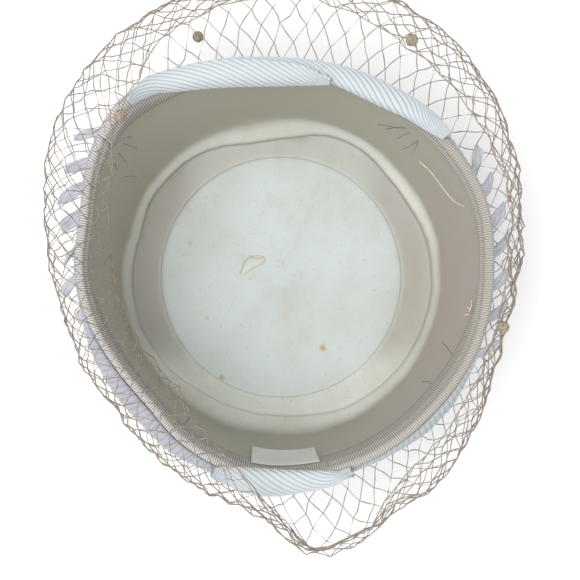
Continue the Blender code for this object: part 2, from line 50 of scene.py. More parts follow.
TURN = math.tau
BODY = "root"
UV_LAYER = "cloth"
MERGE = 1e-6  # points closer than this are one
NOISE_SEED = 7  # without one, noise vectors are shifted by chance
Colour = tuple[float, float, float]
Profile = list[tuple[float, float]]
Span = tuple[float, float]
Socket = bpy.types.NodeSocket
Material = bpy.types.Material


class Shade(Enum):
    """The colour of a loose thread."""

    CREAM = "cream"
    DARK = "dark"


class OutlineRow(NamedTuple):
    """The body seen from above: rim as a share of the rim radius, roll as a share of the roll's depth."""

    angle: float
    rim: float
    roll: float


class WallRow(NamedTuple):
    """The roll's share of its depth at a share of the side wall's height."""

    height: float
    roll: float


class LiningRow(NamedTuple):
    """How far the lining's soft fold leans into the hollow."""

    angle: float
    reach: float


class RibbonRow(NamedTuple):
    """How much of its rise the ribbon's foot takes."""

    angle: float
    rise: float


class DrapeRow(NamedTuple):
    """A draped fold: inner edge, drop down the outside, height of the inner edge, start of its curve."""

    angle: float
    inner: float
    drop: float
    edge: float
    start: float


class LeafRow(NamedTuple):
    """A leaf: where it is sewn on, its length in mm, and its turns in degrees."""

    name: str
    angle: float
    height: float
    length: float
    flare: float
    lean: float
    tilt: float


class VeilRow(NamedTuple):
    """A section of the veil: radii as shares of the rim radius and heights as shares of the height."""

    angle: float
    swell: float
    swell_z: float
    top: float
    top_z: float
    edge: float
    edge_z: float


class SpotRow(NamedTuple):
    """A stain on the lining: pixel of the photo, height above the floor in mm, radius in mm, strength."""

    across: float
    down: float
    height: float
    radius: float
    strength: float


class ThreadRow(NamedTuple):
    """A loose thread: pixels of the photo that it passes, height in mm, and its colour."""

    pixels: tuple[tuple[float, float], ...]
    height: float
    shade: Shade


OUTLINE = tuple(
    OutlineRow(*row)
    for row in (
        (0, 1.000, 0.16),
        (20, 1.025, 0.20),
        (35, 1.015, 0.45),
        (50, 1.000, 0.48),
        (70, 1.000, 0.20),
        (90, 1.000, 0.12),
        (105, 1.015, 0.48),
        (120, 1.075, 0.12),
        (134, 1.137, 0.20),
        (148, 1.090, 0.43),
        (165, 1.012, 0.24),
        (180, 1.000, 0.16),
        (193, 0.974, 0.46),
        (210, 0.932, 1.05),
        (224, 0.920, 1.14),
        (237, 0.955, 1.00),
        (250, 0.985, 0.74),
        (263, 1.005, 0.97),
        (276, 1.001, 0.70),
        (288, 0.996, 0.45),
        (300, 0.989, 0.56),
        (319, 0.983, 0.85),
        (340, 0.999, 0.26),
    )
)
WALL = tuple(
    WallRow(*row)
    for row in (
        (0.00, 0.00),
        (0.42, 0.06),
        (0.70, 0.52),
        (0.85, 1.00),
        (0.95, 0.66),
        (1.00, 0.00),
    )
)
LINING_FOLDS = tuple(
    LiningRow(*row)
    for row in (
        (3, 0.35),
        (35, 0.75),
        (68, 0.40),
        (97, 1.70),
        (133, 0.30),
        (165, 0.60),
        (205, 0.70),
        (240, 1.50),
        (270, 1.60),
        (300, 0.80),
        (325, 0.40),
    )
)
RIBBON_FOOT = tuple(
    RibbonRow(*row)
    for row in (
        (0, 1.00),
        (20, 1.00),
        (50, 1.00),
        (85, 0.90),
        (118, 0.82),
        (131, 0.42),
        (143, 0.72),
        (160, 0.95),
        (180, 0.95),
        (191, 0.45),
        (203, 0.00),
        (230, 0.00),
        (262, 0.00),
        (300, 0.00),
        (333, 0.10),
        (343, 0.42),
        (351, 0.85),
    )
)
FRONT_OVER = tuple(
    DrapeRow(*row)
    for row in (
        (77, 0.970, 0.14, 0.040, 0.90),
        (81, 0.957, 0.14, 0.034, 0.83),
        (86, 0.945, 0.14, 0.034, 0.72),
        (94, 0.940, 0.15, 0.034, 0.66),
        (104, 0.962, 0.15, 0.030, 0.62),
        (113, 1.003, 0.15, 0.024, 0.57),
        (121, 1.055, 0.13, 0.028, 0.58),
        (128, 1.125, 0.09, 0.038, 0.74),
        (133, 1.172, 0.04, 0.045, 0.86),
    )
)
FRONT_UNDER = tuple(
    DrapeRow(*row)
    for row in (
        (40, 1.015, 0.05, 0.026, 0.60),
        (45, 0.985, 0.11, 0.026, 0.45),
        (52, 0.962, 0.16, 0.024, 0.00),
        (60, 0.940, 0.18, 0.024, 0.00),
        (68, 0.938, 0.18, 0.024, 0.00),
        (77, 0.955, 0.17, 0.024, 0.00),
        (86, 0.972, 0.16, 0.022, 0.00),
        (96, 0.972, 0.14, 0.022, 0.00),
        (104, 0.990, 0.12, 0.022, 0.00),
        (112, 1.030, 0.08, 0.024, 0.20),
    )
)
BACK = tuple(
    DrapeRow(*row)
    for row in (
        (250, 1.020, 0.06, 0.026, 0.56),
        (254, 0.995, 0.12, 0.024, 0.20),
        (262, 0.975, 0.13, 0.024, 0.00),
        (270, 0.975, 0.13, 0.024, 0.00),
        (277, 0.986, 0.13, 0.024, 0.00),
        (282, 1.003, 0.13, 0.024, 0.25),
        (285, 1.020, 0.09, 0.024, 0.60),
        (288, 1.035, 0.05, 0.026, 0.78),
    )
)
LEAVES = tuple(
    LeafRow(*row)
    for row in (
        ("leaf_right_1", 27, 0.80, 14, 14, 66, 46),
        ("leaf_right_2", 19, 0.75, 16, 18, 64, 54),
        ("leaf_right_3", 11, 0.80, 15, 20, 68, 52),
        ("leaf_right_4", 3, 0.75, 17, 22, 62, 56),
        ("leaf_right_5", -6, 0.79, 16, 16, 68, 50),
        ("leaf_right_6", -15, 0.74, 15, 14, 64, 48),
        ("leaf_right_7", -24, 0.79, 14, 12, 66, 44),
        ("leaf_left_1", 142, 0.80, 14, 10, 66, 50),
        ("leaf_left_2", 149, 0.74, 16, 10, 62, 58),
        ("leaf_left_3", 156, 0.80, 15, 4, 70, 52),
        ("leaf_left_4", 163, 0.75, 15, 2, 64, 56),
        ("leaf_left_5", 171, 0.79, 14, 4, 68, 26),
        ("leaf_left_6", 180, 0.75, 14, 4, 62, 45),
        ("leaf_left_7", 188, 0.68, 12, 0, 66, 30),
    )
)
VEIL = tuple(
    VeilRow(*row)
    for row in (
        (0, 1.21, 0.58, 1.18, 0.86, 1.09, 1.02),
        (20, 1.31, 0.56, 1.27, 0.84, 1.15, 1.02),
        (40, 1.45, 0.54, 1.39, 0.82, 1.21, 1.02),
        (60, 1.55, 0.51, 1.47, 0.80, 1.25, 1.00),
        (85, 1.60, 0.49, 1.53, 0.78, 1.35, 0.98),
        (105, 1.57, 0.50, 1.50, 0.82, 1.32, 1.04),
        (118, 1.53, 0.54, 1.43, 0.92, 1.24, 1.14),
        (130, 1.49, 0.56, 1.33, 1.12, 1.12, 1.22),
        (146, 1.43, 0.58, 1.20, 1.26, 1.00, 1.12),
        (157, 1.36, 0.59, 1.15, 1.27, 0.95, 0.99),
        (166, 1.28, 0.60, 1.10, 1.26, 0.90, 0.88),
        (176, 1.21, 0.62, 1.07, 1.25, 0.88, 0.84),
        (186, 1.16, 0.66, 1.04, 1.24, 0.86, 0.82),
        (205, 1.12, 0.72, 1.00, 1.22, 0.81, 0.82),
        (225, 1.11, 0.76, 0.99, 1.22, 0.80, 0.86),
        (243, 1.14, 0.78, 1.05, 1.26, 0.86, 1.04),
        (255, 1.18, 0.74, 1.09, 1.27, 0.95, 1.21),
        (263, 1.24, 0.62, 1.14, 1.18, 1.06, 1.22),
        (269, 1.36, 0.48, 1.25, 0.92, 1.19, 1.04),
        (275, 1.50, 0.40, 1.47, 0.50, 1.45, 0.60),
        (282, 1.52, 0.37, 1.50, 0.42, 1.47, 0.52),
        (289, 1.48, 0.40, 1.44, 0.52, 1.38, 0.66),
        (296, 1.40, 0.46, 1.34, 0.70, 1.23, 0.86),
        (306, 1.37, 0.50, 1.30, 0.81, 1.14, 0.98),
        (320, 1.29, 0.54, 1.23, 0.84, 1.10, 1.00),
        (340, 1.19, 0.58, 1.16, 0.86, 1.06, 1.02),
    )
)
SPOTS = tuple(
    SpotRow(*row)
    for row in (
        (323, 348, 3, 2.4, 0.85),
        (222, 377, 3, 2.0, 0.75),
        (375, 290, 3, 1.2, 0.60),
        (190, 244, 3, 1.4, 0.40),
        (184, 256, 3, 1.0, 0.35),
        (207, 318, 3, 1.6, 0.35),
        (221, 327, 3, 1.1, 0.35),
        (262, 247, 3, 0.9, 0.30),
        (300, 205, 3, 1.1, 0.25),
        (340, 402, 8, 3.5, 0.40),
    )
)
THREADS = (
    ThreadRow(
        ((420, 160), (430, 168), (440, 181), (448, 192), (456, 201), (464, 205), (470, 207)),
        62,
        Shade.CREAM,
    ),
    ThreadRow(
        ((240, 274), (243, 262), (250, 257), (258, 256), (266, 258), (262, 264), (252, 268), (245, 274)),
        4.3,
        Shade.CREAM,
    ),
    ThreadRow(((248, 256), (256, 262), (262, 257)), 4.5, Shade.CREAM),
    ThreadRow(((468, 307), (472, 309), (477, 314)), 66, Shade.CREAM),
    ThreadRow(((378, 123), (388, 124), (400, 127)), 64, Shade.DARK),
    ThreadRow(((386, 128), (398, 125), (410, 127)), 64, Shade.DARK),
    ThreadRow(((399, 137), (405, 134), (412, 130)), 62, Shade.DARK),
    ThreadRow(((404, 148), (412, 145), (418, 140)), 62, Shade.DARK),
    ThreadRow(((414, 151), (418, 146), (419, 139)), 62, Shade.DARK),
    ThreadRow(((115, 142), (126, 144), (137, 149)), 62, Shade.DARK),
    ThreadRow(((112, 147), (120, 154), (127, 163)), 62, Shade.DARK),
    ThreadRow(((112, 151), (115, 160), (117, 171)), 61, Shade.DARK),
    ThreadRow(((110, 158), (113, 168), (112, 180)), 60, Shade.DARK),
    ThreadRow(((118, 137), (125, 139), (132, 137)), 62, Shade.DARK),
    ThreadRow(((124, 178), (131, 175), (137, 178)), 60, Shade.DARK),
    ThreadRow(((182, 427), (187, 421), (192, 415)), 58, Shade.DARK),
    ThreadRow(((443, 342), (449, 348), (453, 355)), 60, Shade.DARK),
    ThreadRow(((422, 383), (428, 380), (432, 384)), 60, Shade.DARK),
    ThreadRow(((470, 312), (474, 306), (473, 300)), 68, Shade.CREAM),
    ThreadRow(((466, 315), (471, 314), (474, 316)), 68, Shade.CREAM),
)


def mix(first: float, second: float, share: float) -> float:
    """The value share of the way from first to second."""
    return first + (second - first) * share


def ease(share: float) -> float:
    """A share with a soft start and end."""
    share = min(max(share, 0.0), 1.0)
    return share * share * (3 - 2 * share)


def hermite(start: float, end: float, slopes: tuple[float, float], width: float, share: float) -> float:
    """The cubic through start and end with these slopes.

    Args:
        start: Value at the start of the span.
        end: Value at its end.
        slopes: Slopes at the start and the end.
        width: Width of the span.
        share: Place in the span, from 0 to 1.

    Returns:
        The value there.
    """
    square, cube = share**2, share**3
    return (
        (2 * cube - 3 * square + 1) * start
        + (cube - 2 * square + share) * slopes[0] * width
        + (3 * square - 2 * cube) * end
        + (cube - square) * slopes[1] * width
    )


def spline(places: Sequence[float], values: Sequence[float], place: float) -> float:
    """A smooth curve through values at rising places.

    Args:
        places: Where the values hold.
        values: The values.
        place: Where to read the curve. Outside the places it keeps the end values.

    Returns:
        The curve's value.
    """
    last = len(places) - 1
    place = min(max(place, places[0]), places[-1])
    spot = next(i for i in range(last) if place <= places[i + 1])

    def slope(i: int) -> float:
        before, after = max(i - 1, 0), min(i + 1, last)
        return (values[after] - values[before]) / (places[after] - places[before])

    width = places[spot + 1] - places[spot]
    share = (place - places[spot]) / width
    return hermite(values[spot], values[spot + 1], (slope(spot), slope(spot + 1)), width, share)


@lru_cache(maxsize=200000)
def in_table(rows: tuple, column: str, degrees: float) -> float:
    """A column's smooth value in a table that ends at its first and last row."""
    return spline([row.angle for row in rows], [getattr(row, column) for row in rows], degrees)


@lru_cache(maxsize=200000)
def round_table(rows: tuple, column: str, degrees: float) -> float:
    """A column's smooth value in a table that goes all the way round."""
    whole = [rows[-2], rows[-1], *rows, rows[0], rows[1]]
    turns = [-360, -360, *([0] * len(rows)), 360, 360]
    places = [row.angle + turn for row, turn in zip(whole, turns)]
    first = rows[0].angle
    return spline(places, [getattr(row, column) for row in whole], (degrees - first) % 360 + first)


def polar(radius: float, angle: float, height: float) -> Vector:
    """The point at this radius, angle in radians and height."""
    return Vector((radius * math.cos(angle), radius * math.sin(angle), height))


def offset(points: Profile, distance: float) -> Profile:
    """The profile moved to its right, which is outwards on a wall that runs upwards."""
    moved = []
    last = len(points) - 1
    for i, (radius, height) in enumerate(points):
        before, after = points[max(i - 1, 0)], points[min(i + 1, last)]
        along = Vector((after[0] - before[0], after[1] - before[1])).normalized()
        moved.append((radius + along.y * distance, height - along.x * distance))
    return moved


def radius_at(points: Profile, height: float) -> float:
    """The radius of a rising profile at a height."""
    for (low_r, low_z), (high_r, high_z) in zip(points, points[1:]):
        if low_z <= height <= high_z and high_z > low_z:
            return mix(low_r, high_r, (height - low_z) / (high_z - low_z))
    return points[-1][0]


def on_profile(points: Profile, share: float) -> tuple[float, float]:
    """The smooth point share of the way along a profile, measured by length."""
    places = [0.0]
    for (r0, z0), (r1, z1) in zip(points, points[1:]):
        places.append(places[-1] + max(math.hypot(r1 - r0, z1 - z0), 1e-7))
    place = share * places[-1]
    return spline(places, [p[0] for p in points], place), spline(places, [p[1] for p in points], place)


@dataclass(frozen=True)
class HatForm:
    """The hat's stiff form, which every cloth piece lies on. Sizes are in metres."""

    rim_mean: float = 92.2 * MM
    height: float = 82.0 * MM
    crown_radius: float = 86.0 * MM
    crown_round: float = 7.0 * MM
    turn_under: float = 4.0 * MM
    roll_depth: float = 8.0 * MM
    cover_wall: float = 2.2 * MM
    gap: float = 0.3 * MM
    round_steps: int = 3

    def rim_radius(self, angle: float) -> float:
        """The ribbon's outside at the rim."""
        return self.rim_mean * round_table(OUTLINE, "rim", math.degrees(angle))

    def inner_profile(self, angle: float, roll_share: float = 1.0) -> Profile:
        """The cover's inside from under the crown to the rim.

        Args:
            angle: Direction from the middle, in radians.
            roll_share: How much of the roll below the rim counts.

        Returns:
            Points as radius and height.
        """
        centre = self.crown_radius - self.crown_round
        points = [(centre - self.turn_under, self.cover_wall)]
        for step in range(self.round_steps + 1):
            bend = math.pi / 2 * step / self.round_steps
            rise = self.cover_wall + self.crown_round * (1 - math.cos(bend))
            points.append((centre + self.crown_round * math.sin(bend), rise))
        top = self.rim_radius(angle) + self.gap
        roll = self.roll_depth * roll_share * round_table(OUTLINE, "roll", math.degrees(angle))
        bottom = self.cover_wall + self.crown_round
        for row in WALL[1:]:
            radius = mix(self.crown_radius, top, row.height) + roll * row.roll
            points.append((radius, mix(bottom, self.height, row.height)))
        return points

    def outer_profile(self, angle: float) -> Profile:
        """The cover's outside, which ends level with its inside at the rim."""
        inside = self.inner_profile(angle)
        return offset(inside, self.cover_wall)[:-1] + [(inside[-1][0] + self.cover_wall, self.height)]

    def outside_radius(self, angle: float, height: float) -> float:
        """The cover's outer radius at a height."""
        return radius_at(self.outer_profile(angle), height)

    def wall_radius(self, angle: float, height: float) -> float:
        """The straight inner wall that the lining follows."""
        return radius_at(self.inner_profile(angle, 0.0), height)


FORM = HatForm()


@dataclass(frozen=True)
class PhotoView:
    """The photograph's camera: nearly straight above, 400 mm over the rim."""

    aim: tuple[float, float] = (1.8 * MM, -8.55 * MM)
    stand: tuple[float, float] = (-11.7 * MM, -16.1 * MM)
    above_rim: float = 400.0 * MM
    pixel: float = 0.45 * MM  # size of a pixel at the rim
    middle: tuple[float, float] = (286.0, 271.0)  # pixel over the row's origin, at the rim
    picture: int = 580

    def eye(self) -> Vector:
        """Where the camera stands."""
        return Vector((*self.stand, FORM.height + self.above_rim))

    def under_pixel(self, across: float, down: float, height: float) -> Vector:
        """The point at a height that a pixel of the photograph shows.

        Args:
            across: Pixel column.
            down: Pixel row.
            height: Height of the point in metres.

        Returns:
            The point.
        """
        eye = self.eye()
        rim = Vector(
            (
                (across - self.middle[0]) * self.pixel,
                (self.middle[1] - down) * self.pixel,
                FORM.height,
            )
        )
        return eye + (rim - eye) * ((eye.z - height) / self.above_rim)

    def build(self) -> None:
        """Make the camera."""
        data = bpy.data.cameras.new("photo_camera")
        data.sensor_fit = "HORIZONTAL"
        data.angle = 2 * math.atan(0.5 * self.picture * self.pixel / self.above_rim)
        data.clip_start = 0.01
        camera = bpy.data.objects.new("photo_camera", data)
        bpy.context.scene.collection.objects.link(camera)
        target = Vector((*self.aim, FORM.height))
        back = (self.eye() - target).normalized()
        right = Vector((0, 1, 0)).cross(back).normalized()
        up = back.cross(right)
        turned = Matrix((right, up, back)).transposed().to_4x4()
        camera.matrix_world = Matrix.Translation(self.eye()) @ turned
        bpy.context.scene.camera = camera


VIEW = PhotoView()


class Nodes:
    """A short way to add and join shader nodes in one tree."""

    def __init__(self, tree: bpy.types.NodeTree) -> None:
        """Keep the tree that nodes are added to."""
        self.tree = tree

    def add(self, kind: str, **settings: object) -> bpy.types.Node:
        """Add a node and set its own properties."""
        node = self.tree.nodes.new(kind)
        for key, value in settings.items():
            setattr(node, key, value)
        return node

    def feed(self, node: bpy.types.Node, socket: str | int, value: object) -> None:
        """Join a socket to another node's output, or set its value."""
        target = node.inputs[socket]
        if isinstance(value, Socket):
            self.tree.links.new(value, target)
        elif target.type == "RGBA":
            target.default_value = (*value, 1.0)
        else:
            target.default_value = value

    def group(self, tree: bpy.types.NodeTree, values: dict[str, object]) -> Socket:
        """Place a node group, feed its inputs by name and give its output."""
        node = self.add("ShaderNodeGroup", node_tree=tree)
        for socket, value in values.items():
            self.feed(node, socket, value)
        return node.outputs[0]

    def math(self, operation: str, *values: object) -> Socket:
        """A Math node's output."""
        node = self.add("ShaderNodeMath", operation=operation)
        for i, value in enumerate(values):
            self.feed(node, i, value)
        return node.outputs[0]

    def blend(self, share: object, first: object, second: object) -> Socket:
        """A colour between two others."""
        node = self.add("ShaderNodeMix", data_type="RGBA")
        for socket, value in ((0, share), (6, first), (7, second)):
            self.feed(node, socket, value)
        return node.outputs[2]

    def span(self, value: object, low: float, high: float) -> Socket:
        """A value's place between low and high, smoothed, as a Map Range node gives it."""
        node = self.add("ShaderNodeMapRange", interpolation_type="SMOOTHSTEP")
        for i, item in enumerate((value, low, high)):
            self.feed(node, i, item)
        return node.outputs[0]

    def noise(self, vector: object, scale: float, detail: float = 3.0) -> Socket:
        """A noise texture's value."""
        node = self.add("ShaderNodeTexNoise")
        self.feed(node, "Vector", vector)
        self.feed(node, "Scale", scale)
        self.feed(node, "Detail", detail)
        return node.outputs[0]


class GroupDraft:
    """A shader node group while it is made."""

    def __init__(self, name: str, inputs: dict[str, str], output: tuple[str, str]) -> None:
        """Start the group.

        Args:
            name: The group's name.
            inputs: The type of each input by its name.
            output: The output's name and type.
        """
        self.tree = bpy.data.node_groups.new(name, "ShaderNodeTree")
        for title, kind in inputs.items():
            self.tree.interface.new_socket(name=title, in_out="INPUT", socket_type="NodeSocket" + kind)
        title, kind = output
        self.tree.interface.new_socket(name=title, in_out="OUTPUT", socket_type="NodeSocket" + kind)
        self.nodes = Nodes(self.tree)
        self.given = self.nodes.add("NodeGroupInput").outputs
        self.end = self.nodes.add("NodeGroupOutput")

    def finish(self, result: Socket) -> bpy.types.NodeTree:
        """Join the result to the output and give the group."""
        self.nodes.feed(self.end, 0, result)
        return self.tree


def build_weave() -> bpy.types.NodeTree:
    """A plain weave: threads that cross over and under, with uneven thickness."""
    inputs = {"Vector": "Vector", "Threads per metre": "Float"}
    draft = GroupDraft("plain_weave", inputs, ("Height", "Float"))
    nodes, given = draft.nodes, draft.given
    parts = nodes.add("ShaderNodeSeparateXYZ")
    nodes.feed(parts, 0, given["Vector"])
    wobble = nodes.math("MULTIPLY", nodes.noise(given["Vector"], 260.0), 1.4)
    waves = []
    for i in (0, 1):
        turned = nodes.math("MULTIPLY", parts.outputs[i], given["Threads per metre"])
        phase = nodes.math("MULTIPLY_ADD", turned, math.tau, wobble)
        waves.append(nodes.math("SINE", phase))
    both = nodes.math("MULTIPLY", waves[0], waves[1])
    return draft.finish(nodes.math("MULTIPLY_ADD", both, 0.5, 0.5))


def build_mottle() -> bpy.types.NodeTree:
    """Uneven, slightly dirty colour, as old cloth has."""
    inputs = {"Vector": "Vector", "Color": "Color", "Dirt": "Color", "Amount": "Float"}
    draft = GroupDraft("old_cloth", inputs, ("Color", "Color"))
    nodes, given = draft.nodes, draft.given
    large = nodes.span(nodes.noise(given["Vector"], 22.0, 4.0), 0.38, 0.72)
    small = nodes.span(nodes.noise(given["Vector"], 160.0, 5.0), 0.42, 0.80)
    both = nodes.math("MULTIPLY_ADD", small, 0.45, large)
    share = nodes.math("MULTIPLY", both, given["Amount"])
    return draft.finish(nodes.blend(share, given["Color"], given["Dirt"]))


def build_spot() -> bpy.types.NodeTree:
    """A round stain with a ragged edge."""
    inputs = {"Vector": "Vector", "Middle": "Vector", "Radius": "Float", "Strength": "Float"}
    draft = GroupDraft("stain", inputs, ("Mask", "Float"))
    nodes, given = draft.nodes, draft.given
    away = nodes.add("ShaderNodeVectorMath", operation="DISTANCE")
    nodes.feed(away, 0, given["Vector"])
    nodes.feed(away, 1, given["Middle"])
    ragged = nodes.noise(given["Vector"], 420.0, 3.0)
    size = nodes.math("MULTIPLY_ADD", ragged, 1.4, 0.4)
    edge = nodes.math("MULTIPLY", given["Radius"], size)
    near = nodes.math("DIVIDE", away.outputs["Value"], edge)
    return draft.finish(nodes.math("MULTIPLY", nodes.span(near, 1.0, 0.35), given["Strength"]))


@dataclass(frozen=True)
class Finishes:
    """The shared node groups, built once."""

    weave: bpy.types.NodeTree = field(default_factory=build_weave)
    mottle: bpy.types.NodeTree = field(default_factory=build_mottle)
    spot: bpy.types.NodeTree = field(default_factory=build_spot)


@dataclass(frozen=True)
class ClothFinish:
    """A woven cloth with ribs along its own UV map, whose units are metres."""

    name: str
    colour: Colour
    dirt: Colour
    # painted shade: the colour that the weave's gaps and the ribs' grooves are darkened towards
    groove: Colour
    dirt_amount: float = 0.25
    roughness: float = 0.75
    sheen: float = 0.25
    sheen_roughness: float = 0.4
    threads: float = 3500.0
    thread_shade: float = 0.12
    weave_depth: float = 0.05 * MM
    bump_strength: float = 0.8
    rib_pitch: float = 0.0  # across the cloth's width, 0 for none
    rib_depth: float = 0.0
    rib_shade: float = 0.0
    rib_slant: float = 0.0  # along the length for each unit of width
    groove_edge: float = 0.75  # share of a rib's height below which its painted shade starts

    def ribs(self, nodes: Nodes, uv: Socket) -> Socket:
        """The ribs' height, from 0 in a groove to 1 on a crest."""
        parts = nodes.add("ShaderNodeSeparateXYZ")
        nodes.feed(parts, 0, uv)
        slanted = nodes.math("MULTIPLY_ADD", parts.outputs[1], self.rib_slant, parts.outputs[0])
        phase = nodes.math("MULTIPLY", slanted, math.pi / self.rib_pitch)
        return nodes.math("ABSOLUTE", nodes.math("SINE", phase))

    def colours(self, nodes: Nodes, place: Socket, groups: Finishes) -> Socket:
        """The cloth's colour before its ribs are shaded."""
        return self.aged(nodes, place, groups, self.colour)

    def aged(self, nodes: Nodes, place: Socket, groups: Finishes, colour: object) -> Socket:
        """A colour with the uneven dirt of old cloth."""
        values = {"Vector": place, "Color": colour, "Dirt": self.dirt, "Amount": self.dirt_amount}
        return nodes.group(groups.mottle, values)

    def build(self, groups: Finishes) -> Material:
        """Make the material.

        Args:
            groups: The shared node groups.

        Returns:
            The material.
        """
        made = bpy.data.materials.new(self.name)
        made.use_nodes = True
        nodes = Nodes(made.node_tree)
        shader = made.node_tree.nodes["Principled BSDF"]
        uv = nodes.add("ShaderNodeUVMap", uv_map=UV_LAYER).outputs[0]
        place = nodes.add("ShaderNodeTexCoord").outputs["Object"]
        colour = self.colours(nodes, place, groups)
        thread = nodes.group(groups.weave, {"Vector": uv, "Threads per metre": self.threads})
        # painted shade in the gaps between the threads
        shade = nodes.math("MULTIPLY_ADD", thread, -self.thread_shade, self.thread_shade)
        colour = nodes.blend(shade, colour, self.groove)
        height = nodes.math("MULTIPLY", thread, self.weave_depth)
        if self.rib_pitch:
            crest = self.ribs(nodes, uv)
            # painted shade in the ribs' grooves
            groove_shade_share = nodes.math("MULTIPLY", nodes.span(crest, self.groove_edge, 0.0), self.rib_shade)
            colour = nodes.blend(groove_shade_share, colour, self.groove)
            height = nodes.math("MULTIPLY_ADD", crest, self.rib_depth, height)
        bump = nodes.add("ShaderNodeBump")
        nodes.feed(bump, "Distance", 1.0)
        nodes.feed(bump, "Strength", self.bump_strength)
        nodes.feed(bump, "Height", height)
        nodes.feed(shader, "Base Color", colour)
        nodes.feed(shader, "Normal", bump.outputs[0])
        nodes.feed(shader, "Roughness", self.roughness)
        nodes.feed(shader, "Sheen Weight", self.sheen)
        nodes.feed(shader, "Sheen Roughness", self.sheen_roughness)
        return made


@dataclass(frozen=True)
class LiningFinish(ClothFinish):
    """The lining: pale on the crown, greyer up the wall, rosy on the right, with the photo's stains and
    with painted light and shade on its ring, fold and wall.
    """

    tip: Colour = (0.62, 0.69, 0.68)
    ring: Colour = (0.55, 0.57, 0.53)
    # painted shade on the ring's sides
    ring_side_shade: Colour = (0.44, 0.43, 0.40)
    # painted light on the ring at the back
    ring_back_light: Colour = (0.70, 0.73, 0.68)
    # painted highlight on the fold's ridge
    ridge_highlight: Colour = (0.70, 0.72, 0.66)
    # painted shade in the fold's crease
    crease: Colour = (0.34, 0.33, 0.27)
    # the wall to the right and to the front, lighter than the left and back: partly the cloth's own tone
    # and partly painted shade
    rosy: Colour = (0.42, 0.365, 0.335)
    olive: Colour = (0.41, 0.40, 0.325)
    stain: Colour = (0.50, 0.36, 0.12)
    wall_turn: Span = (20 * MM, 85 * MM)  # rosy to the right and olive to the front; the darker left and back are partly painted shade
    side_shade_turn: Span = (35 * MM, 60 * MM)  # where the ring's painted shade at the sides sets in
    back_light_turn: Span = (-30 * MM, -55 * MM)  # where the ring's painted light at the back sets in
    wall_foot: Span = (6 * MM, 15 * MM)
    # where the painted highlight and shade on the fold grow stronger towards the front
    light_turn: Span = (-30 * MM, 50 * MM)
    light: Span = (0.30, 0.55)  # strength of the painted highlight on the ridge and the painted shade in the crease at the back, and what the front adds
    # heights of the painted highlight on the ridge and of the painted shade in the crease
    ridge_rise: Span = (6.6 * MM, 8.4 * MM)
    ridge_fall: Span = (14.0 * MM, 9.5 * MM)
    crease_rise: Span = (4.2 * MM, 5.2 * MM)
    crease_fall: Span = (7.2 * MM, 6.0 * MM)
    seam_turn: Span = (61.5 * MM, 67.5 * MM)  # from the tip to the ring
    fox_share: float = 0.45  # strength of the small brown specks
    fox_pitch: float = 620.0
    fox_turn: Span = (0.64, 0.74)

    def bands(self, nodes: Nodes, parts: Sequence[Socket]) -> Socket:
        """The lining's colour over its wall, its ring and the fold between them, with painted light and
        shade.
        """
        across, ahead, up = parts
        # the wall's tone by side, darker on the left and back: partly the cloth's own tone and partly
        # painted shade
        wall = nodes.blend(nodes.span(across, *self.wall_turn), self.colour, self.rosy)
        wall = nodes.blend(nodes.span(ahead, *self.wall_turn), wall, self.olive)
        # painted shade on the ring's sides
        side_shade = nodes.span(nodes.math("ABSOLUTE", across), *self.side_shade_turn)
        ring = nodes.blend(side_shade, self.ring, self.ring_side_shade)
        # painted light on the ring at the back
        ring = nodes.blend(nodes.span(ahead, *self.back_light_turn), ring, self.ring_back_light)
        base = nodes.blend(nodes.span(up, *self.wall_foot), ring, wall)
        least, more = self.light
        lit = nodes.math("MULTIPLY_ADD", nodes.span(ahead, *self.light_turn), more, least)
        # painted highlight on the fold's ridge and painted shade in its crease
        for rise, fall, colour in (
            (self.ridge_rise, self.ridge_fall, self.ridge_highlight),
            (self.crease_rise, self.crease_fall, self.crease),
        ):
            band = nodes.math("MULTIPLY", nodes.span(up, *rise), nodes.span(up, *fall))
            base = nodes.blend(nodes.math("MULTIPLY", band, lit), base, colour)
        return base

    def colours(self, nodes: Nodes, place: Socket, groups: Finishes) -> Socket:
        """The lining's colour by place, with its stains."""
        parts = nodes.add("ShaderNodeSeparateXYZ")
        nodes.feed(parts, 0, place)
        squares = [nodes.math("POWER", way, 2.0) for way in parts.outputs[:2]]
        out = nodes.math("SQRT", nodes.math("ADD", *squares))
        base = nodes.blend(nodes.span(out, *self.seam_turn), self.tip, self.bands(nodes, parts.outputs))
        specks = nodes.span(nodes.noise(place, self.fox_pitch, 2.0), *self.fox_turn)
        fox = nodes.math("MULTIPLY", specks, self.fox_share)
        colour = nodes.blend(fox, self.aged(nodes, place, groups, base), self.stain)
        for row in SPOTS:
            values = {
                "Vector": place,
                "Middle": VIEW.under_pixel(row.across, row.down, row.height * MM),
                "Radius": row.radius * MM,
                "Strength": row.strength,
            }
            colour = nodes.blend(nodes.group(groups.spot, values), colour, self.stain)
        return colour


@dataclass(frozen=True)
class SideFinish(ClothFinish):
    """The draped cloth, with painted shade that makes it greyer and more lilac where it faces the
    picture's left.
    """

    # painted shade on the cloth's left-hand side
    shaded: Colour = (0.44, 0.44, 0.49)
    turn: Span = (-70 * MM, 0.0)

    def colours(self, nodes: Nodes, place: Socket, groups: Finishes) -> Socket:
        """The cloth's colour by place."""
        parts = nodes.add("ShaderNodeSeparateXYZ")
        nodes.feed(parts, 0, place)
        turned = nodes.blend(nodes.span(parts.outputs[0], *self.turn), self.shaded, self.colour)
        return self.aged(nodes, place, groups, turned)


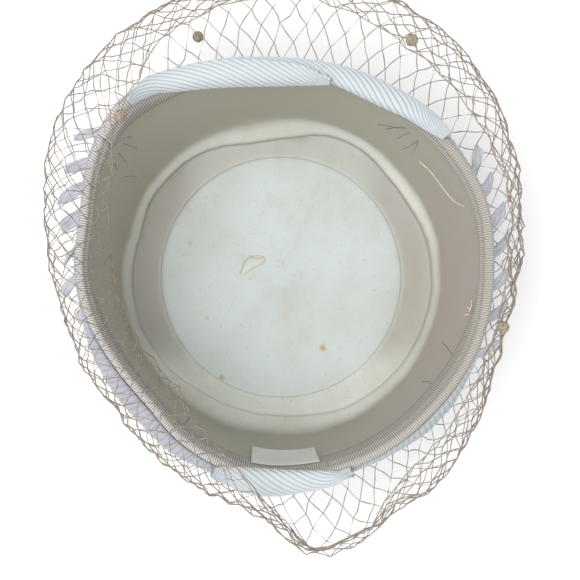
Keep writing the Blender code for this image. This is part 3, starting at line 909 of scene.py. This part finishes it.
@dataclass(frozen=True)
class RibbonFinish(ClothFinish):
    """The ribbon, with painted shade that makes it darker below the rim and greyer on the right."""

    # painted shade on the ribbon below the rim
    under_rim_shade: Colour = (0.42, 0.40, 0.37)
    # painted shade on the ribbon's right-hand side
    right: Colour = (0.49, 0.47, 0.43)
    # where the painted shade on the right sets in
    turn: Span = (-80 * MM, 80 * MM)
    # where the painted shade below the rim gives way to the upper colour
    rim_height: Span = (FORM.height - 7 * MM, FORM.height)

    def colours(self, nodes: Nodes, place: Socket, groups: Finishes) -> Socket:
        """The ribbon's colour by height and by side, with painted shade below the rim and on the right."""
        parts = nodes.add("ShaderNodeSeparateXYZ")
        nodes.feed(parts, 0, place)
        # painted shade below the rim
        rim = nodes.span(parts.outputs[2], *self.rim_height)
        # painted shade towards the right
        upper = nodes.blend(nodes.span(parts.outputs[0], *self.turn), self.colour, self.right)
        return self.aged(nodes, place, groups, nodes.blend(rim, self.under_rim_shade, upper))


@dataclass(frozen=True)
class ThreadFinish:
    """A thread, strand or tuft of one fibre colour."""

    name: str
    colour: Colour
    dark: Colour
    roughness: float = 0.8
    patch_pitch: float = 900.0
    patch_turn: Span = (0.35, 0.70)

    def build(self) -> Material:
        """Make the material."""
        made = bpy.data.materials.new(self.name)
        made.use_nodes = True
        nodes = Nodes(made.node_tree)
        shader = made.node_tree.nodes["Principled BSDF"]
        place = nodes.add("ShaderNodeTexCoord").outputs["Object"]
        patch = nodes.span(nodes.noise(place, self.patch_pitch, 2.0), *self.patch_turn)
        nodes.feed(shader, "Base Color", nodes.blend(patch, self.colour, self.dark))
        nodes.feed(shader, "Roughness", self.roughness)
        return made


def add_piece(name: str, mesh_data: bmesh.types.BMesh, material: Material) -> bpy.types.Object:
    """Link a finished mesh as a piece at the origin.

    Args:
        name: The piece's name.
        mesh_data: Its mesh, which is freed.
        material: Its finish.

    Returns:
        The piece.
    """
    mesh = bpy.data.meshes.new(name)
    mesh_data.to_mesh(mesh)
    mesh_data.free()
    mesh.shade_smooth()
    mesh.materials.append(material)
    piece = bpy.data.objects.new(name, mesh)
    bpy.context.scene.collection.objects.link(piece)
    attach(piece, BODY)
    LOG.info("%s: %d faces", name, len(mesh.polygons))
    return piece


@dataclass(frozen=True)
class ClothGrid:
    """A piece of cloth made from a flat grid that is laid over the hat.

    The normal side is the side that shows, and the wall's thickness goes behind it.
    """

    columns: int
    rows: int
    width: float  # of the flat cloth, for its UV map
    length: float
    wall: float
    joined: bool = False

    def build(
        self,
        place: Callable[[float, float], Vector],
        relief: Callable[[float, float], float] | None = None,
    ) -> bmesh.types.BMesh:
        """Lay the grid and give it its relief and thickness.

        Args:
            place: Gives the point for shares across the width and along the length.
            relief: Gives how far the surface stands out there.

        Returns:
            The closed mesh.
        """
        mesh_data = bmesh.new()
        layer = mesh_data.loops.layers.uv.new(UV_LAYER)
        across = mesh_data.verts.layers.float.new("across")
        along = mesh_data.verts.layers.float.new("along")
        bmesh.ops.create_grid(mesh_data, x_segments=self.columns, y_segments=self.rows, size=0.5)
        for vert in mesh_data.verts:
            vert[across] = min(max(vert.co.x + 0.5, 0.0), 1.0)
            vert[along] = min(max(vert.co.y + 0.5, 0.0), 1.0)
        for face in mesh_data.faces:
            for loop in face.loops:
                loop[layer].uv = (loop.vert[across] * self.width, loop.vert[along] * self.length)
        for vert in mesh_data.verts:
            vert.co = place(vert[across], vert[along])
        if self.joined:
            bmesh.ops.remove_doubles(mesh_data, verts=mesh_data.verts, dist=MERGE)
        if relief:
            mesh_data.normal_update()
            moves = [(vert, vert.normal * relief(vert[across], vert[along])) for vert in mesh_data.verts]
            for vert, move in moves:
                vert.co += move
        if self.wall:
            mesh_data.normal_update()
            bmesh.ops.solidify(mesh_data, geom=list(mesh_data.faces), thickness=self.wall)
        return mesh_data


def rib(phase: float, power: float = 0.8) -> float:
    """A rounded rib with a sharp groove, from 0 to 1, for a phase counted in ribs."""
    return abs(math.sin(math.pi * phase)) ** power


@dataclass
class Cover:
    """The draped, ribbed cloth round the side and over the crown."""

    length: float = 590 * MM  # round the side
    width: float = 108 * MM  # from the crown's flat to the rim
    wall: float = 1.2 * MM
    tip_wall: float = 1.6 * MM
    floor_gap: float = 0.1 * MM
    tip_lift: float = 0.15 * MM
    wander: float = 0.5 * MM  # of the ribs, out of line
    rib_count: int = 190
    samples: int = 5
    rows: int = 30
    rib_depth: float = 0.55 * MM
    slant: float = 0.22  # turn of a rib from the crown to the rim, as an angle in radians
    tip_steps: int = 96
    tip_rows: int = 16

    def build(self, cloth: Material) -> None:
        """Make the side and the crown's flat."""
        columns = self.rib_count * self.samples
        grid = ClothGrid(columns, self.rows, self.length, self.width, self.wall, True)

        def place(across: float, along: float) -> Vector:
            angle = across * TURN + self.slant * along
            radius, height = on_profile(FORM.outer_profile(angle), along)
            return polar(radius, angle, max(height, self.floor_gap))

        def relief(across: float, along: float) -> float:
            soft = ease(along / 0.15) * ease((1 - along) / 0.04)
            wander = noise.noise(polar(9, TURN * across, 3 * along))
            wander *= self.wander * ease((along - 0.08) / 0.20)
            return ((rib(across * self.rib_count) - 1) * self.rib_depth + wander) * soft

        side = add_piece("side_drape", grid.build(place, relief), cloth)
        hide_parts("side_cover")
        radius = FORM.crown_radius - FORM.crown_round - FORM.turn_under - FORM.gap
        disc = ClothGrid(self.tip_steps, self.tip_rows, TURN * radius, radius, self.tip_wall, True)

        def tip_place(across: float, along: float) -> Vector:
            return polar(radius * along, across * TURN, self.tip_lift)

        tip = add_piece("crown_cloth", disc.build(tip_place), cloth)
        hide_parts("tip_cover")


@dataclass
class Lining:
    """The thin lining: a flat tip, a ring with a soft fold round the crown, and the wall."""

    wall: float = 1.0 * MM
    tip_radius: float = 65.5 * MM
    top_drop: float = 4.0 * MM
    fold_height: float = 7.0 * MM
    fold_reach: float = 5.0 * MM
    length: float = 565 * MM  # round the wall
    width: float = 84 * MM  # from the ribbon to the tip's seam
    side_wall: float = 0.6 * MM
    tip_wall: float = 0.8 * MM
    drift: float = 1.1 * MM  # of the wall, in broad waves
    seam_crinkle: float = 0.18 * MM
    fold_crinkle: float = 0.35 * MM
    tip_wave: float = 0.28 * MM
    tip_pucker: float = 0.22 * MM
    tip_seam: float = 0.12 * MM
    columns: int = 480
    rows: int = 60
    tip_columns: int = 180
    tip_rows: int = 40

    def path(self, angle: float) -> Profile:
        """The lining's visible side, from behind the ribbon down to the tip's seam."""
        floor = FORM.cover_wall + FORM.gap
        reach = self.fold_reach * round_table(LINING_FOLDS, "reach", math.degrees(angle))
        room = FORM.crown_radius - FORM.gap
        crease = room - self.wall - reach - 0.5 * self.fold_reach
        fold_top = floor + 2.0 * self.fold_height
        top = FORM.height - self.top_drop
        points = [
            (self.tip_radius - 3 * FORM.gap, floor + 2 * FORM.gap),
            (crease, floor + 0.12 * self.fold_height),
            (crease + 0.16 * self.fold_reach, floor + 0.55 * self.fold_height),
            (room - 0.60 * reach, floor + self.fold_height),
            (FORM.wall_radius(angle, fold_top) - FORM.gap - 0.12 * reach, fold_top),
        ]
        for height in (mix(fold_top, top, 0.5), top):
            points.append((FORM.wall_radius(angle, height) - FORM.gap, height))
        return offset(points, -self.wall)[::-1]

    def build(self, cloth: Material) -> None:
        """Make the wall with its ring, and the tip."""
        grid = ClothGrid(self.columns, self.rows, self.length, self.width, self.side_wall, True)

        def place(across: float, along: float) -> Vector:
            angle = across * TURN
            radius, height = on_profile(self.path(angle), along)
            return polar(radius, angle, height)

        def relief(across: float, along: float) -> float:
            angle = across * TURN
            drift = self.drift * noise.noise(polar(2.2, angle, 2.6 * along) * 1.7)
            drift *= ease((along - 0.45) / 0.3) * ease((1 - along) / 0.12)
            near_seam = self.seam_crinkle * ease((along - 0.80) / 0.18)
            near_fold = self.fold_crinkle * math.exp(-(((along - 0.74) / 0.10) ** 2))
            crinkle = noise.noise(polar(16, angle, 5 * along)) * (near_seam + near_fold)
            return drift + crinkle * ease((1 - along) / 0.05)

        side = add_piece("lining_wall", grid.build(place, relief), cloth)
        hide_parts("lining_side")
        around = TURN * self.tip_radius
        disc = ClothGrid(self.tip_columns, self.tip_rows, around, self.tip_radius, self.tip_wall, True)

        def tip_place(across: float, along: float) -> Vector:
            height = FORM.cover_wall + FORM.gap + self.wall
            return polar(self.tip_radius * (1 - along), across * TURN, height)

        def tip_relief(across: float, along: float) -> float:
            angle, radius = across * TURN, 1 - along
            edge = ease((radius - 0.90) / 0.08)
            wave = self.tip_wave * noise.noise(polar(1.6 * radius, angle, 4.0)) * (1 - edge)
            pucker = self.tip_pucker * noise.noise(polar(20, angle, 1.0)) * edge
            return wave + pucker - self.tip_seam * ease((radius - 0.975) / 0.02)

        tip = add_piece("lining_crown", disc.build(tip_place, tip_relief), cloth)
        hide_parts("lining_tip")


@dataclass
class Ribbon:
    """The grosgrain ribbon inside the head opening, whose edge rolls out over the rim."""

    wall: float = 1.0 * MM
    height: float = 16.0 * MM
    rise: float = 12.0 * MM
    lining_drop: float = 4.0 * MM
    start: float = math.radians(132)
    overlap: float = math.radians(12)
    width: float = 20 * MM  # of the flat ribbon
    cloth_share: float = 0.7  # of the wall, for the cloth below its ribs
    rib_pitch: float = 1.08 * MM
    rib_depth: float = 0.26 * MM
    edge: float = 0.12 * MM  # how far the woven edges stand out
    samples: int = 4
    rows: int = 12

    def foot(self, angle: float) -> float:
        """The height of the ribbon's foot, which is higher at the front and the sides."""
        rise = min(max(round_table(RIBBON_FOOT, "rise", math.degrees(angle)), 0.0), 1.0)
        return FORM.height - self.height + self.rise * rise

    def path(self, angle: float) -> Profile:
        """The ribbon's visible side, from over the rim down to its foot."""
        turned = (angle - self.start) / TURN
        step = self.wall + FORM.gap
        shift = step * turned
        lift = step * min(max(16 * turned - 15, 0.0), 1.0)
        foot = self.foot(angle)
        tuck = FORM.height - self.lining_drop + 2 * FORM.gap
        rim = FORM.rim_radius(angle)
        behind = 2 * FORM.gap + self.wall + shift
        bend = FORM.height - 3 * self.wall
        points = [
            (FORM.wall_radius(angle, foot) - behind, foot),
            (FORM.wall_radius(angle, tuck) - behind, tuck),
            (FORM.wall_radius(angle, bend) - FORM.gap - shift, bend),
            (rim - FORM.gap - shift, FORM.height + lift),
            (rim + 0.8 * FORM.cover_wall, FORM.height + FORM.gap + lift),
        ]
        return offset(points, -self.wall)[::-1]

    def build(self, cloth: Material) -> None:
        """Make the ribbon."""
        turn = TURN + self.overlap
        count = round(turn * FORM.rim_mean / self.rib_pitch)
        length = count * self.rib_pitch
        wall = self.cloth_share * self.wall
        grid = ClothGrid(count * self.samples, self.rows, length, self.width, wall)

        def place(across: float, along: float) -> Vector:
            angle = self.start + turn * across
            radius, height = on_profile(self.path(angle), along)
            return polar(radius, angle, height)

        def relief(across: float, along: float) -> float:
            inside = ease(along / 0.06) * ease((1 - along) / 0.06)
            return (rib(across * count) - 0.6) * self.rib_depth * inside + self.edge * (1 - inside)

        band = add_piece("grosgrain_band", grid.build(place, relief), cloth)
        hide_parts("sweatband")


@dataclass
class Label:
    """The blank woven label that is sewn over the ribbon at the back and hangs below it."""

    length: float = 33.0 * MM
    height: float = 33.0 * MM
    drop: float = 7.0 * MM
    angle: float = math.radians(270)
    wall: float = 0.6 * MM
    cloth_wall: float = 0.4 * MM
    lap: float = 3.0 * MM  # below the ribbon's foot, where the label comes off it
    curl: float = 0.8 * MM  # of the lower left corner
    columns: int = 40
    rows: int = 20

    def build(self, cloth: Material) -> None:
        """Make the label."""
        grid = ClothGrid(self.columns, self.rows, self.length, self.height, self.cloth_wall)
        top = FORM.height - self.drop

        def place(across: float, along: float) -> Vector:
            angle = self.angle + (across - 0.5) * self.length / FORM.rim_mean
            height = top - self.height * along
            band = Ribbon().path(angle)[::-1]
            foot = band[0][1]
            over = radius_at(band, max(height, foot)) - 2 * FORM.gap
            hanging = FORM.wall_radius(angle, height) - 3 * FORM.gap - Lining.wall
            radius = mix(hanging, over, ease((height - foot) / self.lap + 1)) - 0.5 * self.wall
            curl = self.curl * ease((along - 0.7) / 0.3) * (1 - across)
            return polar(radius - curl, angle, height)

        tag = add_piece("blank_label", grid.build(place), cloth)
        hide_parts("label")


@dataclass
class Fold:
    """A draped fold of the ribbed cloth over the rim."""

    name: str
    node: str
    rows: tuple[DrapeRow, ...]
    layer: int
    wall: float = 1.4 * MM
    rise: float = 5.0 * MM
    least_rise: float = 3.0 * MM
    shoulder: float = 3.0 * MM
    ease: float = 0.8 * MM
    side: float = 1 / 3
    steps: int = 9
    rib_pitch: float = 4.4 * MM
    rib_depth: float = 0.7 * MM
    slant: float = 1.5  # along the rim for each unit over it
    fineness: float = 0.5 * MM
    hem: float = 4.0 * MM  # turned in along each edge of the cut
    fullness: float = 1.06  # of the cloth along the rim
    spare: float = 1.1  # of the flat cut
    cuts: int = 12

    def path(self, angle: float) -> Profile:
        """The fold's outside, from low on the wall, over the rim, to its inner edge."""
        degrees = math.degrees(angle)
        inner, drop, edge, start = (
            in_table(self.rows, column, degrees) for column in ("inner", "drop", "edge", "start")
        )
        top = FORM.height
        outer = FORM.outside_radius(angle, top - self.shoulder) + self.ease
        inner_radius = min(FORM.rim_mean * inner, outer - 1.2 * self.shoulder)
        narrow = min(1.0, 0.5 * (outer - inner_radius) / (2 * self.shoulder))
        shoulder = top - self.shoulder * narrow
        rise = max(self.rise * narrow, self.least_rise)
        low = min(top * (1 - drop), shoulder - self.wall)
        points = []
        for step in range(self.steps + 1):
            place = mix(start, 1.0, step / self.steps)
            if place < self.side:
                height = mix(low, shoulder, place / self.side)
                radius = FORM.outside_radius(angle, height) + self.ease
            else:
                bend = math.pi * (place - self.side) / (1 - self.side)
                share = 0.5 * (1 - math.cos(bend))
                height = mix(shoulder, top * (1 + edge), share) + rise * math.sin(bend)
                radius = mix(outer, inner_radius, share)
            points.append((radius, height))
        return offset(points, self.layer * (self.wall + 4 * FORM.gap) + self.wall)

    def cloth_length(self, angle: float) -> float:
        """The cloth's length over the rim at an angle."""
        points = self.path(angle)
        return sum(math.dist(first, second) for first, second in zip(points, points[1:]))

    def build(self, cloth: Material) -> None:
        """Make the fold."""
        start, end = math.radians(self.rows[0].angle), math.radians(self.rows[-1].angle)
        width = (end - start) * FORM.rim_mean * self.fullness
        length = self.cloth_length(0.5 * (start + end))
        columns, rows = round(width / self.fineness), round(length / self.fineness)
        grid = ClothGrid(columns, rows, width, length, self.wall)

        def place(across: float, along: float) -> Vector:
            angle = mix(start, end, across)
            radius, height = on_profile(self.path(angle), along)
            return polar(radius, angle, height)

        def relief(across: float, along: float) -> float:
            phase = (across * width + self.slant * along * length) / self.rib_pitch
            inside = ease(along / 0.05) * ease((1 - along) / 0.05)
            return (rib(phase) - 1) * self.rib_depth * inside

        piece = add_piece(self.name, grid.build(place, relief), cloth)
        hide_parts(self.node)
        cuts = [self.cloth_length(mix(start, end, step / self.cuts)) for step in range(self.cuts + 1)]


@dataclass
class Leaf:
    """A cupped satin leaf that is sewn to the side."""

    row: LeafRow
    wall: float = 0.5 * MM
    width: float = 11.0 * MM
    cup: float = 1.6 * MM
    standoff: float = 0.45 * MM
    fan: float = 0.18
    crumple: float = 1.8 * MM
    vein: float = 0.35 * MM
    curl_share: float = 0.4
    columns: int = 14
    rows: int = 20
    shares: tuple[float, ...] = (0.0, 0.28, 0.55, 0.80, 1.0)  # along the leaf
    halves: tuple[float, ...] = (0.22, 0.82, 1.00, 0.62, 0.06)  # its width there
    curls: tuple[float, ...] = (0.0, 0.02, 0.06, 0.14, 0.26)  # its curl there

    def point(self, along: float, across: float, lift: float) -> Vector:
        """A point on the leaf.

        Args:
            along: Distance from the stem.
            across: Distance from the middle vein.
            lift: Distance off its face.

        Returns:
            The point.
        """
        angle = math.radians(self.row.angle)
        turns = (self.row.lean, self.row.flare, self.row.tilt)
        lean, flare, tilt = (math.radians(turn) for turn in turns)
        outward = Vector((math.cos(angle), math.sin(angle), 0))
        sideways = Vector((-math.sin(angle), math.cos(angle), 0))
        upward = Vector((0, 0, 1))
        axis = math.cos(lean) * upward + math.sin(lean) * sideways
        width = math.cos(lean) * sideways - math.sin(lean) * upward
        axis = math.cos(flare) * axis + math.sin(flare) * outward
        face = math.cos(tilt) * outward - math.sin(tilt) * width
        width = math.cos(tilt) * width + math.sin(tilt) * outward
        height = self.row.height * FORM.height
        root = polar(FORM.outside_radius(angle, height), angle, height)
        point = root + axis * along + width * across + face * lift
        return point + outward * max(sideways.dot(point - root), 0.0) * self.fan

    def build(self, cloth: Material) -> None:
        """Make the leaf."""
        length = self.row.length * MM
        grid = ClothGrid(self.columns, self.rows, self.width, length, self.wall)
        seed = 3.1 * self.row.angle

        def place(across: float, along: float) -> Vector:
            half = spline(self.shares, self.halves, along)
            side = 2 * across - 1
            curl = length * spline(self.shares, self.curls, along) * self.curl_share
            cup = self.cup * abs(side) ** 1.6 * half + curl
            wave = self.crumple * noise.noise(Vector((side * 1.6, along * 3.2, seed))) * half
            vein = -self.vein * math.exp(-((side / 0.10) ** 2)) * (1 - along)
            lift = self.wall + cup + wave + vein
            return self.point(along * length, 0.5 * self.width * half * side, lift)

        mesh_data = grid.build(place)
        clear = min(
            vert.co.xy.length - FORM.outside_radius(math.atan2(vert.co.y, vert.co.x), vert.co.z)
            for vert in mesh_data.verts
        )
        push = polar(self.standoff - clear, math.radians(self.row.angle), 0.0)
        bmesh.ops.translate(mesh_data, verts=mesh_data.verts, vec=push)
        leaf = add_piece("satin_" + self.row.name, mesh_data, cloth)
        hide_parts(self.row.name)


@dataclass
class Veil:
    """The open net: sewn low round the side, swelling out, and gathered at its free edge."""

    seam_height: float = 22.0 * MM
    standoff: float = 1.6 * MM
    cells_round: int = 76
    cells_along: int = 8
    strand: float = 0.60 * MM
    gather: float = 1.25  # how much closer the cells lie at the free edge
    crush: float = 2.6 * MM
    kink: float = 1.1 * MM
    kink_pitch: float = 4.5 * MM
    free_height: float = 10 * MM  # over the seam, where the strands kink in full
    flat: tuple[float, float] = (0.60, 0.11)
    filled: float = 0.3  # share of the flat net that is strands

    def point(self, degrees: float, along: float) -> Vector:
        """The net's surface from the seam, 0, to the free edge, 1."""
        angle = math.radians(degrees)
        seam = FORM.outside_radius(angle, self.seam_height) + self.standoff
        swell, swell_z, top, top_z, edge, edge_z = (
            round_table(VEIL, column, degrees)
            for column in ("swell", "swell_z", "top", "top_z", "edge", "edge_z")
        )
        knots = (0.0, 0.5, 0.75, 1.0)
        radii = (seam, swell * FORM.rim_mean, top * FORM.rim_mean, edge * FORM.rim_mean)
        heights = (self.seam_height, swell_z * FORM.height, top_z * FORM.height, edge_z * FORM.height)
        return polar(spline(knots, radii, along), angle, spline(knots, heights, along))

    def build(self, net: Material) -> bpy.types.Object:
        """Make the net.

        Args:
            net: The strands' finish.

        Returns:
            The net.
        """
        mesh_data = bmesh.new()
        bmesh.ops.create_grid(
            mesh_data, x_segments=self.cells_round, y_segments=self.cells_along, size=0.5
        )
        straight = list(mesh_data.edges)
        bmesh.ops.poke(mesh_data, faces=list(mesh_data.faces))
        for vert in mesh_data.verts:
            share = min(max(vert.co.x + 0.5, 0.0), 1.0)
            along = 1 - (1 - min(max(vert.co.y + 0.5, 0.0), 1.0)) ** self.gather
            bend = noise.noise_vector(polar(13, TURN * share, 9 * along)) * self.crush
            vert.co = self.point(share * 360, along) + bend * ease(along / 0.1)
        bmesh.ops.remove_doubles(mesh_data, verts=mesh_data.verts, dist=MERGE)
        inner = [edge for edge in straight if edge.is_valid and len(edge.link_faces) == 2]
        bmesh.ops.dissolve_edges(mesh_data, edges=inner, use_verts=False)
        bmesh.ops.bisect_edges(mesh_data, edges=list(mesh_data.edges), cuts=1)
        for vert in mesh_data.verts:
            free = ease((vert.co.z - self.seam_height) / self.free_height)
            vert.co += noise.noise_vector(vert.co / self.kink_pitch) * self.kink * free
        bmesh.ops.wireframe(
            mesh_data,
            faces=list(mesh_data.faces),
            thickness=self.strand,
            use_replace=True,
            use_boundary=True,
        )
        veil = add_piece("veil_net", mesh_data, net)
        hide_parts("veil")
        return veil


@dataclass
class Dots:
    """The fuzzy chenille dots on the net."""

    radius: float = 3.1 * MM
    core: float = 0.86  # share of the radius below the tufts
    tuft: float = 0.45 * MM
    fuzz: float = 0.27 * MM
    places: tuple[tuple[str, float, float], ...] = (
        ("veil_dot_1", 109.5, 0.32),
        ("veil_dot_2", 61.5, 0.98),
        ("veil_dot_3", 345.5, 1.00),
        ("veil_dot_4", 137.0, 1.00),
    )

    def build(self, veil: Veil, fibre: Material) -> None:
        """Make the dots.

        Args:
            veil: The net that they sit on.
            fibre: Their finish.
        """
        for node, degrees, along in self.places:
            middle = veil.point(degrees, along)
            behind = veil.point(degrees, max(along - 0.1, 0.0)) - middle
            beside = veil.point(degrees + 4, along) - middle
            outward = beside.cross(-behind).normalized()
            centre = middle + outward * (self.radius + FORM.gap)
            mesh_data = bmesh.new()
            bmesh.ops.create_icosphere(mesh_data, subdivisions=5, radius=self.radius * self.core)
            for vert in mesh_data.verts:
                way = vert.co.normalized()
                tuft = self.tuft * noise.noise(way * 7.0 + Vector((degrees, 0, 0)))
                fuzz = self.fuzz * noise.noise(way * 19.0 + Vector((0, degrees, 0)))
                vert.co += way * (tuft + fuzz)
            bmesh.ops.translate(mesh_data, verts=mesh_data.verts, vec=centre)
            dot = add_piece("chenille_" + node, mesh_data, fibre)
            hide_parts(node)


@dataclass
class LooseThreads:
    """The loose ends and stray stitches that lie on the lining."""

    cream_radius: float = 0.28 * MM
    dark_radius: float = 0.14 * MM

    def build(self, finishes: dict[Shade, Material]) -> None:
        """Make one curve for each thread colour.

        Args:
            finishes: The materials by thread colour.
        """
        for shade, material in finishes.items():
            name = shade.value + "_threads"
            data = bpy.data.curves.new(name, "CURVE")
            data.dimensions = "3D"
            data.bevel_depth = self.cream_radius if shade is Shade.CREAM else self.dark_radius
            data.bevel_resolution = 1
            data.materials.append(material)
            for row in THREADS:
                if row.shade is not shade:
                    continue
                line = data.splines.new("NURBS")
                line.points.add(len(row.pixels) - 1)
                line.order_u = 3
                line.use_endpoint_u = True
                for point, pixel in zip(line.points, row.pixels):
                    point.co = (*VIEW.under_pixel(*pixel, row.height * MM), 1.0)
            piece = bpy.data.objects.new(name, data)
            bpy.context.scene.collection.objects.link(piece)
            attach(piece, BODY)


@dataclass
class Studio:
    """The pale floor and the soft light."""

    floor_size: float = 4.0
    floor_colour: Colour = (0.93, 0.93, 0.93)
    sky: Colour = (1.0, 1.0, 1.0)
    sky_strength: float = 0.88
    key_energy: float = 16.0
    key_size: float = 1.2
    key_place: tuple[float, float, float] = (-0.55, -0.18, 1.45)
    grain: float = 0.985  # brightness of the paper's dimmer grain
    grain_pitch: float = 700.0
    roughness: float = 0.9

    def build(self) -> None:
        """Make the floor and the lights."""
        mesh_data = bmesh.new()
        bmesh.ops.create_grid(mesh_data, x_segments=2, y_segments=2, size=0.5 * self.floor_size)
        mesh = bpy.data.meshes.new("floor")
        mesh_data.to_mesh(mesh)
        mesh_data.free()
        material = bpy.data.materials.new("floor_paper")
        material.use_nodes = True
        nodes = Nodes(material.node_tree)
        shader = material.node_tree.nodes["Principled BSDF"]
        place = nodes.add("ShaderNodeTexCoord").outputs["Object"]
        grain = nodes.noise(place, self.grain_pitch, 2.0)
        dim = tuple(value * self.grain for value in self.floor_colour)
        nodes.feed(shader, "Base Color", nodes.blend(grain, self.floor_colour, dim))
        nodes.feed(shader, "Roughness", self.roughness)
        mesh.materials.append(material)
        floor = bpy.data.objects.new("floor", mesh)
        bpy.context.scene.collection.objects.link(floor)
        world = bpy.data.worlds.new("soft_sky")
        world.use_nodes = True
        back = world.node_tree.nodes["Background"]
        back.inputs["Color"].default_value = (*self.sky, 1.0)
        back.inputs["Strength"].default_value = self.sky_strength
        bpy.context.scene.world = world
        light = bpy.data.lights.new("key", "AREA")
        light.energy = self.key_energy
        light.size = self.key_size
        lamp = bpy.data.objects.new("key", light)
        lamp.location = self.key_place
        lamp.rotation_euler = Vector(lamp.location).to_track_quat("Z", "Y").to_euler()
        bpy.context.scene.collection.objects.link(lamp)
        bpy.context.scene.view_settings.view_transform = "Standard"


def main() -> None:
    """Build the camera, the light and every piece of the hat."""
    logging.basicConfig(level=logging.INFO, format="%(message)s")
    noise.seed_set(NOISE_SEED)
    VIEW.build()
    Studio().build()
    groups = Finishes()
    side = SideFinish(
        "ribbed_side",
        colour=(0.42, 0.46, 0.47),
        dirt=(0.46, 0.48, 0.46),
        groove=(0.26, 0.29, 0.33),
        threads=2600.0,
        rib_pitch=Cover.length / Cover.rib_count,
        rib_shade=0.55,
    ).build(groups)
    draped = ClothFinish(
        "ribbed_drape",
        colour=(0.60, 0.65, 0.67),
        dirt=(0.52, 0.56, 0.55),
        groove=(0.28, 0.32, 0.38),
        threads=2600.0,
        rib_pitch=Fold.rib_pitch,
        rib_shade=0.60,
        rib_slant=Fold.slant,
    ).build(groups)
    lining = LiningFinish(
        "stained_lining",
        # the lining wall on the left and back, darker partly by painted shade
        colour=(0.37, 0.36, 0.30),
        dirt=(0.42, 0.38, 0.28),
        groove=(0.40, 0.40, 0.36),
        threads=1300.0,
        dirt_amount=0.26,
        sheen=0.15,
        roughness=0.6,
    ).build(groups)
    grosgrain = RibbonFinish(
        "cream_grosgrain",
        colour=(0.69, 0.67, 0.65),
        dirt=(0.50, 0.43, 0.33),
        groove=(0.13, 0.11, 0.09),
        rib_pitch=Ribbon.rib_pitch,
        rib_shade=1.0,
    ).build(groups)
    woven = ClothFinish(
        "white_label",
        colour=(0.72, 0.72, 0.69),
        dirt=(0.50, 0.48, 0.40),
        groove=(0.45, 0.45, 0.42),
        threads=3000.0,
    ).build(groups)
    satin = ClothFinish(
        "lilac_satin",
        colour=(0.62, 0.62, 0.68),
        dirt=(0.50, 0.48, 0.54),
        groove=(0.30, 0.30, 0.36),
        rib_pitch=2.2 * MM,
        rib_depth=0.25 * MM,
        rib_shade=0.55,
        roughness=0.42,
        sheen=0.4,
    ).build(groups)
    net = ThreadFinish("tan_net", (0.40, 0.34, 0.28), (0.27, 0.22, 0.18)).build()
    chenille = ThreadFinish("tan_chenille", (0.42, 0.36, 0.28), (0.22, 0.18, 0.14), 0.95).build()
    cream = ThreadFinish("cream_thread", (0.78, 0.70, 0.54), (0.60, 0.52, 0.38)).build()
    dark = ThreadFinish("dark_thread", (0.16, 0.14, 0.11), (0.10, 0.09, 0.08)).build()
    Cover().build(side)
    Lining().build(lining)
    Ribbon().build(grosgrain)
    Label().build(woven)
    for fold in (
        Fold("front_drape_under", "front_fold_under", FRONT_UNDER, 0),
        Fold("front_drape_over", "front_fold_over", FRONT_OVER, 1),
        Fold("back_drape", "back_fold", BACK, 0),
    ):
        fold.build(draped)
    for row in LEAVES:
        Leaf(row).build(satin)
    veil = Veil()
    veil.build(net)
    Dots().build(veil, chenille)
    LooseThreads().build({Shade.CREAM: cream, Shade.DARK: dark})


if __name__ == "__main__":
    main()
